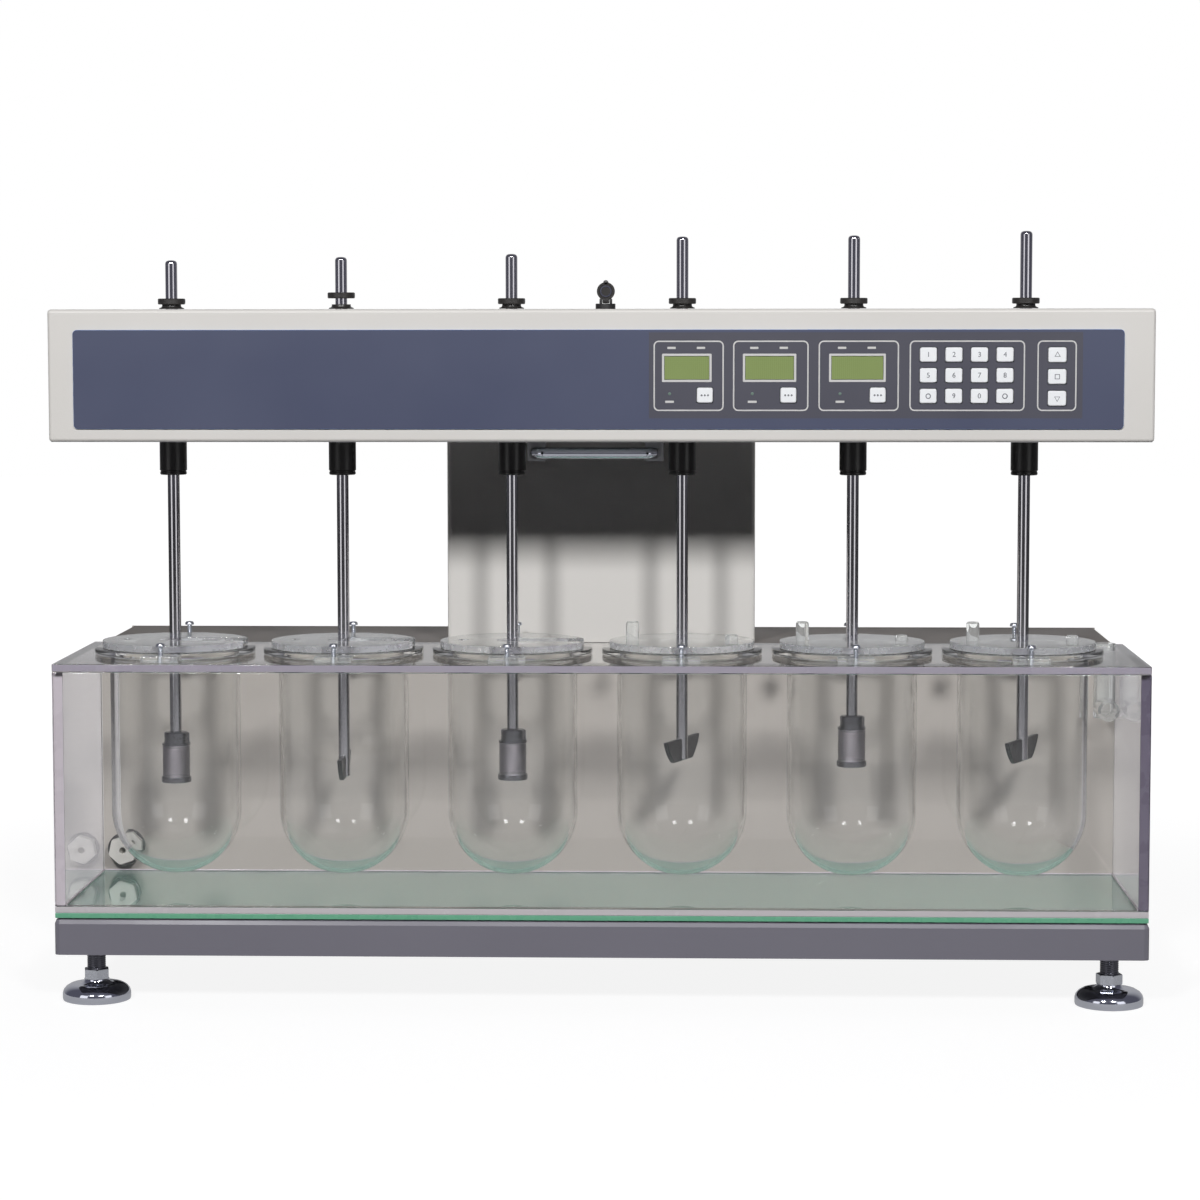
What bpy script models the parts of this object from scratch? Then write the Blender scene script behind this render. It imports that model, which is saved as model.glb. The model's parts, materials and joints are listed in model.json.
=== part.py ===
"""Six-station dissolution tester.

A water tank of clear acrylic holds six round-bottomed glass vessels. A head above it turns six
shafts, three with a wire basket and three with a paddle. The head slides up and down a column that
stands on the housing behind the tank. Lengths are in metres and +Z is up. The origin is on the
bench, below the middle of the base.
"""

import math

import bmesh
import bpy
from mathutils import Matrix
from mathutils import Vector

# Fits shared by all pieces
FIT_GAP = 0.0003
CUT_OVERRUN = 0.002
RUN_CLEARANCE = 0.0005

# Levelling feet
FOOT_DISC_DIAMETER = 0.057
FOOT_DISC_HEIGHT = 0.018
FOOT_RIM_HEIGHT = 0.006
FOOT_STUD_DIAMETER = 0.0135
FOOT_NUT_FLATS = 0.0195
FOOT_NUT_HEIGHT = 0.008
FOOT_SIDE_INSET = 0.0287
FOOT_END_INSET = 0.035
FOOT_GAP_UNDER_BASE = 0.018

# Base frame
BASE_SIDE_MARGIN = 0.001
BASE_HEIGHT = 0.0305
BASE_WALL = 0.002
BASE_EDGE_RADIUS = 0.0045
BASE_PAD_SIZE = 0.052
BASE_PAD_HEIGHT = 0.005

# Tank
TANK_DEPTH = 0.194
TANK_END_MARGIN = 0.092
TANK_WALL = 0.008
TANK_FLOOR = 0.0096
TANK_SETBACK = 0.0005
TOP_PLATE_THICKNESS = 0.0065

# Stations along the tank
STATION_COUNT = 6
STATION_GAP = 0.008
STATION_SHIFT = -0.0045

# Glass vessels
VESSEL_DIAMETER = 0.110
VESSEL_WALL = 0.003
VESSEL_DEPTH = 0.1886
VESSEL_FLOOR_GAP = 0.0141
VESSEL_HOLE_CLEARANCE = 0.0008
FLANGE_DIAMETER = 0.136
FLANGE_THICKNESS = 0.0052

# Vessel lids
LID_RIM_MARGIN = 0.0065
LID_THICKNESS = 0.006
LID_SLOT_WIDTH = 0.027
LID_BORE_DIAMETER = 0.0125
LID_PORT_DIAMETER = 0.0095
LID_PORT_OFFSET = 0.042
LID_PEG_DIAMETER = 0.011
LID_TALL_PEG_RISE = 0.016
LID_SHORT_PEG_RISE = 0.0048
LID_PEG_CHAMFER = 0.001
SLOTTED_LID_COUNT = 3

# Clamps that hold the vessel flanges
CLAMP_WIDTH = 0.031
CLAMP_DEPTH = 0.018
CLAMP_THICKNESS = 0.0052
CLAMP_FINGER_THICKNESS = 0.0036
CLAMP_FINGER_GRIP = 0.0045
CLAMP_SCREW_DIAMETER = 0.004
CLAMP_SCREW_HEAD_DIAMETER = 0.0075
CLAMP_SCREW_HEAD_HEIGHT = 0.003
CLAMP_SCREW_RISE = 0.0077

# Drain fitting in the back wall of the tank
DRAIN_NUT_FLATS = 0.0225
DRAIN_NUT_HEIGHT = 0.009
DRAIN_WASHER_DIAMETER = 0.029
DRAIN_WASHER_THICKNESS = 0.002
DRAIN_STEM_DIAMETER = 0.013
DRAIN_BORE_DIAMETER = 0.0058
DRAIN_STEM_REACH = 0.030
DRAIN_SIDE_OFFSET = 0.0262
DRAIN_RISE = 0.0195

# Water inlet elbow under the top plate
INLET_DIAMETER = 0.019
INLET_BORE_DIAMETER = 0.0140
INLET_DROP = 0.052
INLET_REACH = 0.034
INLET_RISE = 0.003
INLET_SIDE_OFFSET = 0.019
INLET_BACK_OFFSET = 0.026

# Rear housing behind the tank
HOUSING_SIDE_MARGIN = 0.007
HOUSING_DEPTH = 0.1522
HOUSING_WALL = 0.0015
HOUSING_EDGE_RADIUS = 0.003
HOUSING_BACK_MARGIN = 0.0045
COVER_THICKNESS = 0.0015
VENT_COUNT = 8
VENT_WIDTH = 0.004
VENT_HEIGHT = 0.060
VENT_PITCH = 0.012
VENT_SIDE_OFFSET = 0.300
MAINS_INLET_WIDTH = 0.027
MAINS_INLET_HEIGHT = 0.0195
MAINS_INLET_DEPTH = 0.016
MAINS_INLET_WALL = 0.002
MAINS_INLET_OFFSET = 0.330
MAINS_INLET_RISE = 0.045
MAINS_PIN_WIDTH = 0.002
MAINS_PIN_HEIGHT = 0.004
MAINS_PIN_PITCH = 0.007

# Pump and heater inside the rear housing
PUMP_DIAMETER = 0.062
PUMP_LENGTH = 0.090
PUMP_VOLUTE_DIAMETER = 0.076
PUMP_VOLUTE_LENGTH = 0.024
HEATER_DIAMETER = 0.046
HEATER_LENGTH = 0.150
PIPE_DIAMETER = 0.016
PIPE_LENGTH = 0.060
CIRCULATOR_SIDE_GAP = 0.065
SADDLE_HEIGHT = 0.012
SADDLE_WIDTH = 0.050

# Column
COLUMN_WIDTH = 0.270
COLUMN_DEPTH = 0.110
COLUMN_TOP_GAP = 0.0039
COLUMN_WALL = 0.002
COLUMN_FLOOR = 0.004
COLUMN_SETBACK = 0.0024
COLUMN_EDGE_RADIUS = 0.003

# Lift inside the column
MAST_CLEARANCE = 0.002
MAST_WALL = 0.0025
MAST_TOP_DROP = 0.0154
MAST_STOP_GAP = 0.004
MAST_BEARING_HEIGHT = 0.045
MAST_PLATE_WIDTH = 0.240
MAST_PLATE_DROP = 0.004
MAST_PLATE_GAP = 0.009
ROD_DIAMETER = 0.016
ROD_SPACING = 0.160
ROD_BORE_CLEARANCE = 0.0005
ROD_TOP_MARGIN = 0.004

# Head
HEAD_HEIGHT = 0.1085
HEAD_RISE = 0.1832
HEAD_DROP_TRAVEL = 0.050
HEAD_COLUMN_GAP = 0.0027
HEAD_WALL = 0.0015
HEAD_EDGE_RADIUS = 0.003
HEAD_SETBACK = 0.0027
HEAD_PLATE_THICKNESS = 0.003

# Chrome handle under the head
HANDLE_LENGTH = 0.113
HANDLE_DIAMETER = 0.0102
HANDLE_REACH = 0.029
HANDLE_BEND_RADIUS = 0.009
HANDLE_DROP = 0.0153
HANDLE_SHIFT = -0.0044
HANDLE_TAB_WIDTH = 0.018
HANDLE_TAB_THICKNESS = 0.003
HANDLE_TAB_INSET = 0.0045

# Bearings, spindles and collars
BUSH_DIAMETER = 0.023
BUSH_DROP = 0.031
BUSH_RISE = 0.030
SPINDLE_DIAMETER = 0.016
SPINDLE_RISE = 0.0043
SPINDLE_SKIRT_DIAMETER = 0.021
SPINDLE_SKIRT_HEIGHT = 0.002
COLLAR_DIAMETER = 0.023
COLLAR_HEIGHT = 0.005
SHAFT_DIAMETER = 0.010
RAISED_STATION = 1
RAISED_COLLAR_LIFT = 0.005
SHAFT_TOP_RISE = 0.0415
SHAFT_TOP_SPREAD = 0.0235
SHAFT_TOP_SHARES = (0.0, 0.11, 0.21, 0.82, 0.85, 1.0)
TOOL_REACH = 0.2935
TOOL_SPREAD = 0.0214
TOOL_LEVEL_SHARES = (0.0, 0.26, 0.15, 0.98, 0.72, 1.0)

# Belt drive
PULLEY_DIAMETER = 0.044
PULLEY_FLANGE_DIAMETER = 0.049
PULLEY_HEIGHT = 0.012
PULLEY_FLANGE_HEIGHT = 0.0015
PULLEY_TOP_MARGIN = 0.012
BELT_THICKNESS = 0.0016
BELT_MARGIN = 0.0006
MOTOR_SIZE = 0.057
MOTOR_HEIGHT = 0.060
MOTOR_SHAFT_DIAMETER = 0.008
MOTOR_BOSS_DIAMETER = 0.038
MOTOR_BOSS_HEIGHT = 0.0016

# Baskets and paddles
BASKET_DIAMETER = 0.023
BASKET_RIM_DIAMETER = 0.0252
BASKET_RIM_HEIGHT = 0.0048
BASKET_MESH_HEIGHT = 0.028
BASKET_CAP_DIAMETER = 0.020
BASKET_CAP_HEIGHT = 0.011
BASKET_CAP_FLANGE_HEIGHT = 0.003
PADDLE_TOP_CHORD = 0.0745
PADDLE_BOTTOM_CHORD = 0.042
PADDLE_HEIGHT = 0.019
PADDLE_THICKNESS = 0.004
PADDLE_DROP = 0.001
PADDLE_TURN_DEGREES = (0.0, 90.0, 0.0, 69.0, 0.0, 65.0)

# Control panel on the front of the head
PANEL_THICKNESS = 0.0012
PANEL_CORNER_RADIUS = 0.0035
PANEL_LEFT_MARGIN = 0.0212
PANEL_RIGHT_MARGIN = 0.0255
PANEL_BOTTOM_MARGIN = 0.0107
PANEL_TOP_MARGIN = 0.0168
CONTROL_LEFT_SHARE = 0.5483
CONTROL_RIGHT_SHARE = 0.9620
CONTROL_FOOT_SHARE = 0.15
CONTROL_TOP_SHARE = 0.92

# Displays, as shares of the panel's width and height
DISPLAY_CENTRE_SHARES = (0.5864, 0.6649, 0.7480)
DISPLAY_WIDTH_SHARES = (0.0425, 0.0460, 0.0490)
DISPLAY_LEVEL_SHARE = 0.616
DISPLAY_HEIGHT = 0.019
DISPLAY_RECESS = 0.0005
DISPLAY_CLEARANCE = 0.0004

# Keys, as shares of the panel's width and height
FUNCTION_KEY_SHARES = (0.6035, 0.6828, 0.7674)
FUNCTION_KEY_LEVEL_SHARE = 0.341
FUNCTION_KEY_WIDTH = 0.0131
FUNCTION_KEY_HEIGHT = 0.0125
DIGIT_LEFT_SHARE = 0.8151
DIGIT_LEVEL_SHARE = 0.747
DIGIT_PITCH = 0.0207
DIGIT_ROW_PITCH = 0.0168
DIGIT_KEY_WIDTH = 0.0139
DIGIT_KEY_HEIGHT = 0.0119
DIGIT_ROWS = (("1", "2", "3", "4"), ("5", "6", "7", "8"), ("set", "9", "0", "start"))
ARROW_SHARE = 0.9368
ARROW_LEVEL_SHARE = 0.744
ARROW_ROW_PITCH = 0.0176
ARROW_KEY_WIDTH = 0.0150
ARROW_KEY_HEIGHT = 0.0123
ARROW_NAMES = ("up", "stop", "down")
KEY_PROUD = 0.0010
KEY_TRAVEL = 0.0008
KEY_CLEARANCE = 0.0003
KEY_EDGE_RADIUS = 0.0005
KEY_LENGTH = 0.0045
BOARD_THICKNESS = 0.0016
BOARD_MARGIN = 0.006

# Probe socket and its dust cap on top of the head
SOCKET_DIAMETER = 0.0165
SOCKET_BORE_DIAMETER = 0.0100
SOCKET_HEIGHT = 0.0045
SOCKET_STEM_DIAMETER = 0.0120
SOCKET_STEM_DROP = 0.010
SOCKET_SHIFT = 0.0085
SOCKET_FRONT_OFFSET = 0.055
CAP_DIAMETER = 0.0150
CAP_THICKNESS = 0.0024
CAP_TAB_DIAMETER = 0.0044
CAP_TAB_SHARE = 0.97
HINGE_DIAMETER = 0.0026
HINGE_PIN_LENGTH = 0.006

# Facets of round pieces
LARGE_STEPS = 24
SHAFT_STEPS = 12
SMALL_STEPS = 8
BOWL_STEPS = 5
BEND_STEPS = 5
ROUND_EDGE_SHARE = 0.5

# Sizes and levels that follow from the values above
STATION_PITCH = FLANGE_DIAMETER + STATION_GAP
TANK_WIDTH = (STATION_COUNT - 1) * STATION_PITCH + 2 * TANK_END_MARGIN
BASE_WIDTH = TANK_WIDTH + 2 * BASE_SIDE_MARGIN
BASE_DEPTH = TANK_SETBACK + TANK_DEPTH + FIT_GAP + HOUSING_DEPTH + HOUSING_BACK_MARGIN
HOUSING_WIDTH = TANK_WIDTH - 2 * HOUSING_SIDE_MARGIN
HEAD_WIDTH = TANK_WIDTH
BASE_BOTTOM = FOOT_DISC_HEIGHT + FOOT_NUT_HEIGHT + FOOT_GAP_UNDER_BASE
BASE_TOP = BASE_BOTTOM + BASE_HEIGHT
BASE_FRONT = -BASE_DEPTH / 2
BASE_BACK = BASE_DEPTH / 2
TANK_BOTTOM = BASE_TOP + FIT_GAP
FLOOR_TOP = TANK_BOTTOM + TANK_FLOOR
WALL_BOTTOM = FLOOR_TOP + FIT_GAP
TANK_FRONT = BASE_FRONT + TANK_SETBACK
TANK_BACK = TANK_FRONT + TANK_DEPTH
STATION_Y = TANK_FRONT + TANK_DEPTH / 2
VESSEL_BOTTOM = FLOOR_TOP + VESSEL_FLOOR_GAP
FLANGE_BOTTOM = VESSEL_BOTTOM + VESSEL_DEPTH
FLANGE_TOP = FLANGE_BOTTOM + FLANGE_THICKNESS
PLATE_TOP = FLANGE_BOTTOM - FIT_GAP
PLATE_BOTTOM = PLATE_TOP - TOP_PLATE_THICKNESS
WALL_TOP = PLATE_BOTTOM - FIT_GAP
LID_BOTTOM = FLANGE_TOP + FIT_GAP
LID_TOP = LID_BOTTOM + LID_THICKNESS
HOUSING_FRONT = TANK_BACK + FIT_GAP
HOUSING_BACK = BASE_BACK - HOUSING_BACK_MARGIN
HEAD_BOTTOM = PLATE_TOP + HEAD_RISE
HEAD_TOP = HEAD_BOTTOM + HEAD_HEIGHT
COLUMN_FRONT = TANK_BACK + COLUMN_SETBACK
COLUMN_BACK = COLUMN_FRONT + COLUMN_DEPTH
COLUMN_BOTTOM = PLATE_TOP + FIT_GAP
COLUMN_TOP = HEAD_BOTTOM - COLUMN_TOP_GAP
COLUMN_MID_Y = (COLUMN_FRONT + COLUMN_BACK) / 2
HEAD_FRONT = BASE_FRONT + HEAD_SETBACK
HEAD_BACK = COLUMN_FRONT - HEAD_COLUMN_GAP
MAST_BOTTOM = COLUMN_BOTTOM + COLUMN_FLOOR + HEAD_DROP_TRAVEL + MAST_STOP_GAP
MAST_TOP = HEAD_TOP - MAST_TOP_DROP
MAST_FRONT = COLUMN_FRONT + COLUMN_WALL + MAST_CLEARANCE
MAST_BACK = COLUMN_BACK - COLUMN_WALL - MAST_CLEARANCE
MAST_HALF_WIDTH = COLUMN_WIDTH / 2 - COLUMN_WALL - MAST_CLEARANCE
PULLEY_TOP = HEAD_TOP - HEAD_WALL - PULLEY_TOP_MARGIN
PULLEY_BOTTOM = PULLEY_TOP - PULLEY_HEIGHT
SPINDLE_BOTTOM = HEAD_BOTTOM - BUSH_DROP + FIT_GAP
SPINDLE_TOP = HEAD_TOP + SPINDLE_RISE
PANEL_WIDTH = HEAD_WIDTH - PANEL_LEFT_MARGIN - PANEL_RIGHT_MARGIN
PANEL_HEIGHT = HEAD_HEIGHT - PANEL_BOTTOM_MARGIN - PANEL_TOP_MARGIN
PANEL_BACK = HEAD_FRONT - FIT_GAP
PANEL_FRONT = PANEL_BACK - PANEL_THICKNESS
PANEL_LEFT = -HEAD_WIDTH / 2 + PANEL_LEFT_MARGIN
PANEL_BOTTOM = HEAD_BOTTOM + PANEL_BOTTOM_MARGIN
KEY_FRONT = PANEL_FRONT - KEY_PROUD
BOARD_FRONT = KEY_FRONT + KEY_LENGTH + KEY_TRAVEL + FIT_GAP


# Clear the scene
for old_object in list(bpy.data.objects):
    bpy.data.objects.remove(old_object)


def make_material(name, colour, roughness, metallic):
    """A plain shading material."""
    material = bpy.data.materials.new(name)
    material.use_nodes = True
    shader = material.node_tree.nodes["Principled BSDF"]
    shader.inputs["Base Color"].default_value = (colour[0], colour[1], colour[2], 1.0)
    shader.inputs["Roughness"].default_value = roughness
    shader.inputs["Metallic"].default_value = metallic
    material.diffuse_color = (colour[0], colour[1], colour[2], 1.0)
    return material


MATERIAL_LOOKS = {
    "painted_grey": ((0.16, 0.15, 0.18), 0.45, 0.2),
    "painted_warm_grey": ((0.38, 0.36, 0.34), 0.5, 0.1),
    "painted_white": ((0.68, 0.66, 0.64), 0.4, 0.0),
    "acrylic": ((0.80, 0.82, 0.86), 0.08, 0.0),
    "vessel_glass": ((0.82, 0.86, 0.86), 0.04, 0.0),
    "green_glass": ((0.35, 0.62, 0.50), 0.05, 0.0),
    "steel": ((0.60, 0.60, 0.62), 0.22, 1.0),
    "chrome": ((0.75, 0.75, 0.77), 0.08, 1.0),
    "black_plastic": ((0.02, 0.02, 0.022), 0.4, 0.0),
    "white_plastic": ((0.80, 0.80, 0.78), 0.4, 0.0),
    "slate_blue": ((0.09, 0.10, 0.17), 0.45, 0.0),
    "display_green": ((0.25, 0.33, 0.12), 0.3, 0.0),
    "rubber": ((0.03, 0.03, 0.03), 0.8, 0.0),
}


def station_x(index):
    """Middle of one station, from left to right."""
    return STATION_SHIFT + (index - (STATION_COUNT - 1) / 2) * STATION_PITCH


def add_box(bm, low, high, radius=0.0, steps=1, sides="all"):
    """A box between two corners, with round edges where a radius is given."""
    made = bmesh.ops.create_cube(bm, size=1.0)
    verts = made["verts"]
    size = Vector(high) - Vector(low)
    centre = (Vector(high) + Vector(low)) / 2
    bmesh.ops.scale(bm, vec=size, verts=verts)
    bmesh.ops.translate(bm, vec=centre, verts=verts)
    if radius > 0.0:
        edges = []
        for edge in set(edge for vert in verts for edge in vert.link_edges):
            run = edge.verts[1].co - edge.verts[0].co
            middle = (edge.verts[1].co + edge.verts[0].co) / 2
            upright = abs(run.z) > abs(run.x) + abs(run.y)
            along_depth = abs(run.y) > abs(run.x) + abs(run.z)
            if sides == "all":
                edges.append(edge)
            elif sides == "upright" and upright:
                edges.append(edge)
            elif sides == "upper" and (upright or middle.z > centre.z):
                edges.append(edge)
            elif sides == "depth" and along_depth:
                edges.append(edge)
            elif sides == "front" and middle.y < centre.y and not along_depth:
                edges.append(edge)
        bmesh.ops.bevel(
            bm, geom=edges, offset=radius, segments=steps, profile=ROUND_EDGE_SHARE, affect="EDGES",
        )


def add_turned(bm, profile, centre, steps, closed_loop=False, axis="Z"):
    """A turned body: points are (radius, height) from the axis, spun round it."""
    before = set(bm.verts)
    verts = []
    for radius, height in profile:
        verts.append(bm.verts.new((radius, 0.0, height)))
    edges = []
    for first, second in zip(verts, verts[1:]):
        edges.append(bm.edges.new((first, second)))
    if closed_loop:
        edges.append(bm.edges.new((verts[-1], verts[0])))
    bmesh.ops.spin(
        bm, geom=verts + edges, cent=(0, 0, 0), axis=(0, 0, 1), angle=2 * math.pi,
        steps=steps, use_merge=True, use_duplicate=False,
    )
    new_verts = [vert for vert in bm.verts if vert not in before]
    on_axis = [vert for vert in new_verts if vert.co.xy.length < FIT_GAP / 10]
    if on_axis:
        bmesh.ops.remove_doubles(bm, verts=on_axis, dist=FIT_GAP / 10)
    new_verts = [vert for vert in bm.verts if vert not in before]
    if axis == "Y":
        bmesh.ops.rotate(bm, cent=(0, 0, 0), matrix=Matrix.Rotation(-math.pi / 2, 3, "X"), verts=new_verts)
    if axis == "X":
        bmesh.ops.rotate(bm, cent=(0, 0, 0), matrix=Matrix.Rotation(math.pi / 2, 3, "Y"), verts=new_verts)
    bmesh.ops.translate(bm, vec=centre, verts=new_verts)
    return new_verts


def add_rod(bm, centre, radius, low, high, steps, axis="Z"):
    """A plain round rod between two heights above its centre point."""
    profile = [(0.0, low), (radius, low), (radius, high), (0.0, high)]
    return add_turned(bm, profile, centre, steps, axis=axis)


def add_tube(bm, centre, outer, inner, low, high, steps, axis="Z"):
    """A plain round tube between two heights above its centre point."""
    profile = [(inner, low), (outer, low), (outer, high), (inner, high)]
    return add_turned(bm, profile, centre, steps, closed_loop=True, axis=axis)


def add_outline(bm, points, low, high, axis="Z"):
    """A prism over an outline of (x, y) points, or of (x, z) points when it runs along Y."""
    if axis == "Y":
        verts = [bm.verts.new((x, low, z)) for x, z in points]
        run = (0, high - low, 0)
    else:
        verts = [bm.verts.new((x, y, low)) for x, y in points]
        run = (0, 0, high - low)
    face = bm.faces.new(verts)
    made = bmesh.ops.extrude_face_region(bm, geom=[face])
    moved = [item for item in made["geom"] if isinstance(item, bmesh.types.BMVert)]
    bmesh.ops.translate(bm, vec=run, verts=moved)
    return verts + moved


def hex_radius(flats):
    """Corner radius of a hexagon of one width across flats."""
    return flats / 2 / math.cos(math.pi / 6)


def finish_mesh(name, bm):
    """Close a mesh with its faces pointing out and its round faces smooth."""
    bmesh.ops.recalc_face_normals(bm, faces=bm.faces)
    mesh = bpy.data.meshes.new(name)
    bm.to_mesh(mesh)
    bm.free()
    mesh.shade_smooth()
    mesh.set_sharp_from_angle(angle=math.radians(35))
    return mesh


def make_piece(name, bm, look, pivot=(0, 0, 0), parent=None):
    """One named piece with its origin on its pivot. Its mesh is drawn where it stands."""
    bmesh.ops.translate(bm, vec=-Vector(pivot), verts=bm.verts)
    piece = bpy.data.objects.new(name, finish_mesh(name, bm))
    bpy.context.scene.collection.objects.link(piece)
    colour, roughness, metallic = MATERIAL_LOOKS[look]
    piece.data.materials.append(make_material(name + "_" + look, colour, roughness, metallic))
    place = Vector(pivot)
    if parent is not None:
        piece.parent = parent
        place = place - pivots[parent.name]
    piece.location = place
    pivots[name] = Vector(pivot)
    return piece


def cut_piece(piece, bm, operation="DIFFERENCE", solver="EXACT"):
    """Cut a piece by a hidden cutter, or join the cutter's body to it."""
    name = piece.name + "_guide_" + str(len(piece.modifiers))
    guide = bpy.data.objects.new(name, finish_mesh(name, bm))
    bpy.context.scene.collection.objects.link(guide)
    guide.hide_render = True
    guide.display_type = "WIRE"
    boolean = piece.modifiers.new("shape", "BOOLEAN")
    boolean.operation = operation
    boolean.solver = solver
    boolean.object = guide


pivots = {}
head_group = bpy.data.objects.new("head_group", None)
bpy.context.scene.collection.objects.link(head_group)
head_group.location = (STATION_SHIFT, COLUMN_MID_Y, HEAD_BOTTOM)
pivots["head_group"] = Vector(head_group.location)


# Levelling feet: a domed disc with its threaded stud and a lock nut
disc_radius = FOOT_DISC_DIAMETER / 2
stud_radius = FOOT_STUD_DIAMETER / 2
stud_top = BASE_BOTTOM + BASE_PAD_HEIGHT + FOOT_STUD_DIAMETER / 2
shoulder_shares = (0.75, 0.7)
foot_profile = [
    (0.0, 0.0),
    (disc_radius - FOOT_RIM_HEIGHT / 3, 0.0),
    (disc_radius, FOOT_RIM_HEIGHT / 3),
    (disc_radius, FOOT_RIM_HEIGHT),
    (disc_radius * shoulder_shares[0], FOOT_DISC_HEIGHT * shoulder_shares[1]),
    (FOOT_NUT_FLATS / 2, FOOT_DISC_HEIGHT),
    (stud_radius, FOOT_DISC_HEIGHT),
    (stud_radius, stud_top),
    (0.0, stud_top),
]
nut_bottom = FOOT_DISC_HEIGHT - FIT_GAP
nut_top = FOOT_DISC_HEIGHT + FOOT_NUT_HEIGHT
foot_places = []
for end in (-1, 1):
    for side in (-1, 1):
        foot_x = side * (BASE_WIDTH / 2 - FOOT_SIDE_INSET)
        foot_y = end * (BASE_DEPTH / 2 - FOOT_END_INSET)
        foot_places.append((foot_x, foot_y, 0))
for number, foot_place in enumerate(foot_places, start=1):
    bm = bmesh.new()
    add_turned(bm, foot_profile, foot_place, SHAFT_STEPS)
    foot = make_piece("levelling_foot_" + str(number), bm, "chrome", foot_place)
    bm = bmesh.new()
    add_rod(bm, foot_place, hex_radius(FOOT_NUT_FLATS), nut_bottom, nut_top, 6)
    cut_piece(foot, bm, "UNION")

# Base frame: a folded tray, open below, with a drilled pad over each foot
bm = bmesh.new()
half_width = BASE_WIDTH / 2
base_low = (-half_width, BASE_FRONT, BASE_BOTTOM)
base_high = (half_width, BASE_BACK, BASE_TOP)
add_box(bm, base_low, base_high, BASE_EDGE_RADIUS, 2, "upper")
base_frame = make_piece("base_frame", bm, "painted_grey")
bm = bmesh.new()
pad_edge = BASE_PAD_SIZE
inner_x = half_width - BASE_WALL
inner_front = BASE_FRONT + BASE_WALL
inner_back = BASE_BACK - BASE_WALL
inner_top = BASE_TOP - BASE_WALL
tray_floor = BASE_BOTTOM - CUT_OVERRUN
add_box(bm, (-inner_x, inner_front, BASE_BOTTOM + BASE_PAD_HEIGHT), (inner_x, inner_back, inner_top))
cut_piece(base_frame, bm)
bm = bmesh.new()
pad_top = BASE_BOTTOM + BASE_PAD_HEIGHT + CUT_OVERRUN
add_outline(
    bm,
    [
        (-inner_x + pad_edge, inner_front),
        (inner_x - pad_edge, inner_front),
        (inner_x - pad_edge, inner_front + pad_edge),
        (inner_x, inner_front + pad_edge),
        (inner_x, inner_back - pad_edge),
        (inner_x - pad_edge, inner_back - pad_edge),
        (inner_x - pad_edge, inner_back),
        (-inner_x + pad_edge, inner_back),
        (-inner_x + pad_edge, inner_back - pad_edge),
        (-inner_x, inner_back - pad_edge),
        (-inner_x, inner_front + pad_edge),
        (-inner_x + pad_edge, inner_front + pad_edge),
    ],
    tray_floor, pad_top,
)
cut_piece(base_frame, bm)
bm = bmesh.new()
for foot_place in foot_places:
    add_rod(bm, foot_place, stud_radius + 2 * FIT_GAP, tray_floor, pad_top, SHAFT_STEPS)
cut_piece(base_frame, bm)

# Floor of the tank: the glass plate that the walls stand on
bm = bmesh.new()
tank_half = TANK_WIDTH / 2
floor_low = (-tank_half, TANK_FRONT, TANK_BOTTOM)
add_box(bm, floor_low, (tank_half, TANK_BACK, FLOOR_TOP), FIT_GAP, 1, "upright")
make_piece("tank_floor", bm, "green_glass")

# Walls of the tank: four clear panes bonded into a ring, with a hole in the rear pane for the drain
drain_x = -tank_half + DRAIN_SIDE_OFFSET
drain_z = FLOOR_TOP + DRAIN_RISE
bm = bmesh.new()
walls_low = (-tank_half, TANK_FRONT, WALL_BOTTOM)
add_box(bm, walls_low, (tank_half, TANK_BACK, WALL_TOP), FIT_GAP * 2, 1, "upright")
tank_walls = make_piece("tank_walls", bm, "acrylic")
bm = bmesh.new()
inside_low = (-tank_half + TANK_WALL, TANK_FRONT + TANK_WALL, WALL_BOTTOM - CUT_OVERRUN)
inside_high = (tank_half - TANK_WALL, TANK_BACK - TANK_WALL, WALL_TOP + CUT_OVERRUN)
add_box(bm, inside_low, inside_high)
cut_piece(tank_walls, bm)
bm = bmesh.new()
stem_radius = DRAIN_STEM_DIAMETER / 2
wall_inside = TANK_BACK - TANK_WALL
add_rod(
    bm, (drain_x, 0, drain_z), stem_radius + 2 * FIT_GAP,
    wall_inside - CUT_OVERRUN, TANK_BACK + CUT_OVERRUN, SHAFT_STEPS, axis="Y",
)
cut_piece(tank_walls, bm)

# Top plate of the tank, with a hole for each vessel and one for the inlet elbow
inlet_x = tank_half - INLET_SIDE_OFFSET
inlet_y = TANK_BACK - INLET_BACK_OFFSET
bm = bmesh.new()
plate_low = (-tank_half, TANK_FRONT, PLATE_BOTTOM)
add_box(bm, plate_low, (tank_half, TANK_BACK, PLATE_TOP), FIT_GAP * 2, 1, "upright")
top_plate = make_piece("tank_top_plate", bm, "acrylic")
bm = bmesh.new()
vessel_radius = VESSEL_DIAMETER / 2
plate_cut_low = PLATE_BOTTOM - CUT_OVERRUN
plate_cut_high = PLATE_TOP + CUT_OVERRUN
for index in range(STATION_COUNT):
    hole_place = (station_x(index), STATION_Y, 0)
    hole_radius = vessel_radius + VESSEL_HOLE_CLEARANCE
    add_rod(bm, hole_place, hole_radius, plate_cut_low, plate_cut_high, LARGE_STEPS)
inlet_hole = INLET_DIAMETER / 2 + FIT_GAP
add_rod(bm, (inlet_x, inlet_y, 0), inlet_hole, plate_cut_low, plate_cut_high, SHAFT_STEPS)
cut_piece(top_plate, bm)

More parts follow.
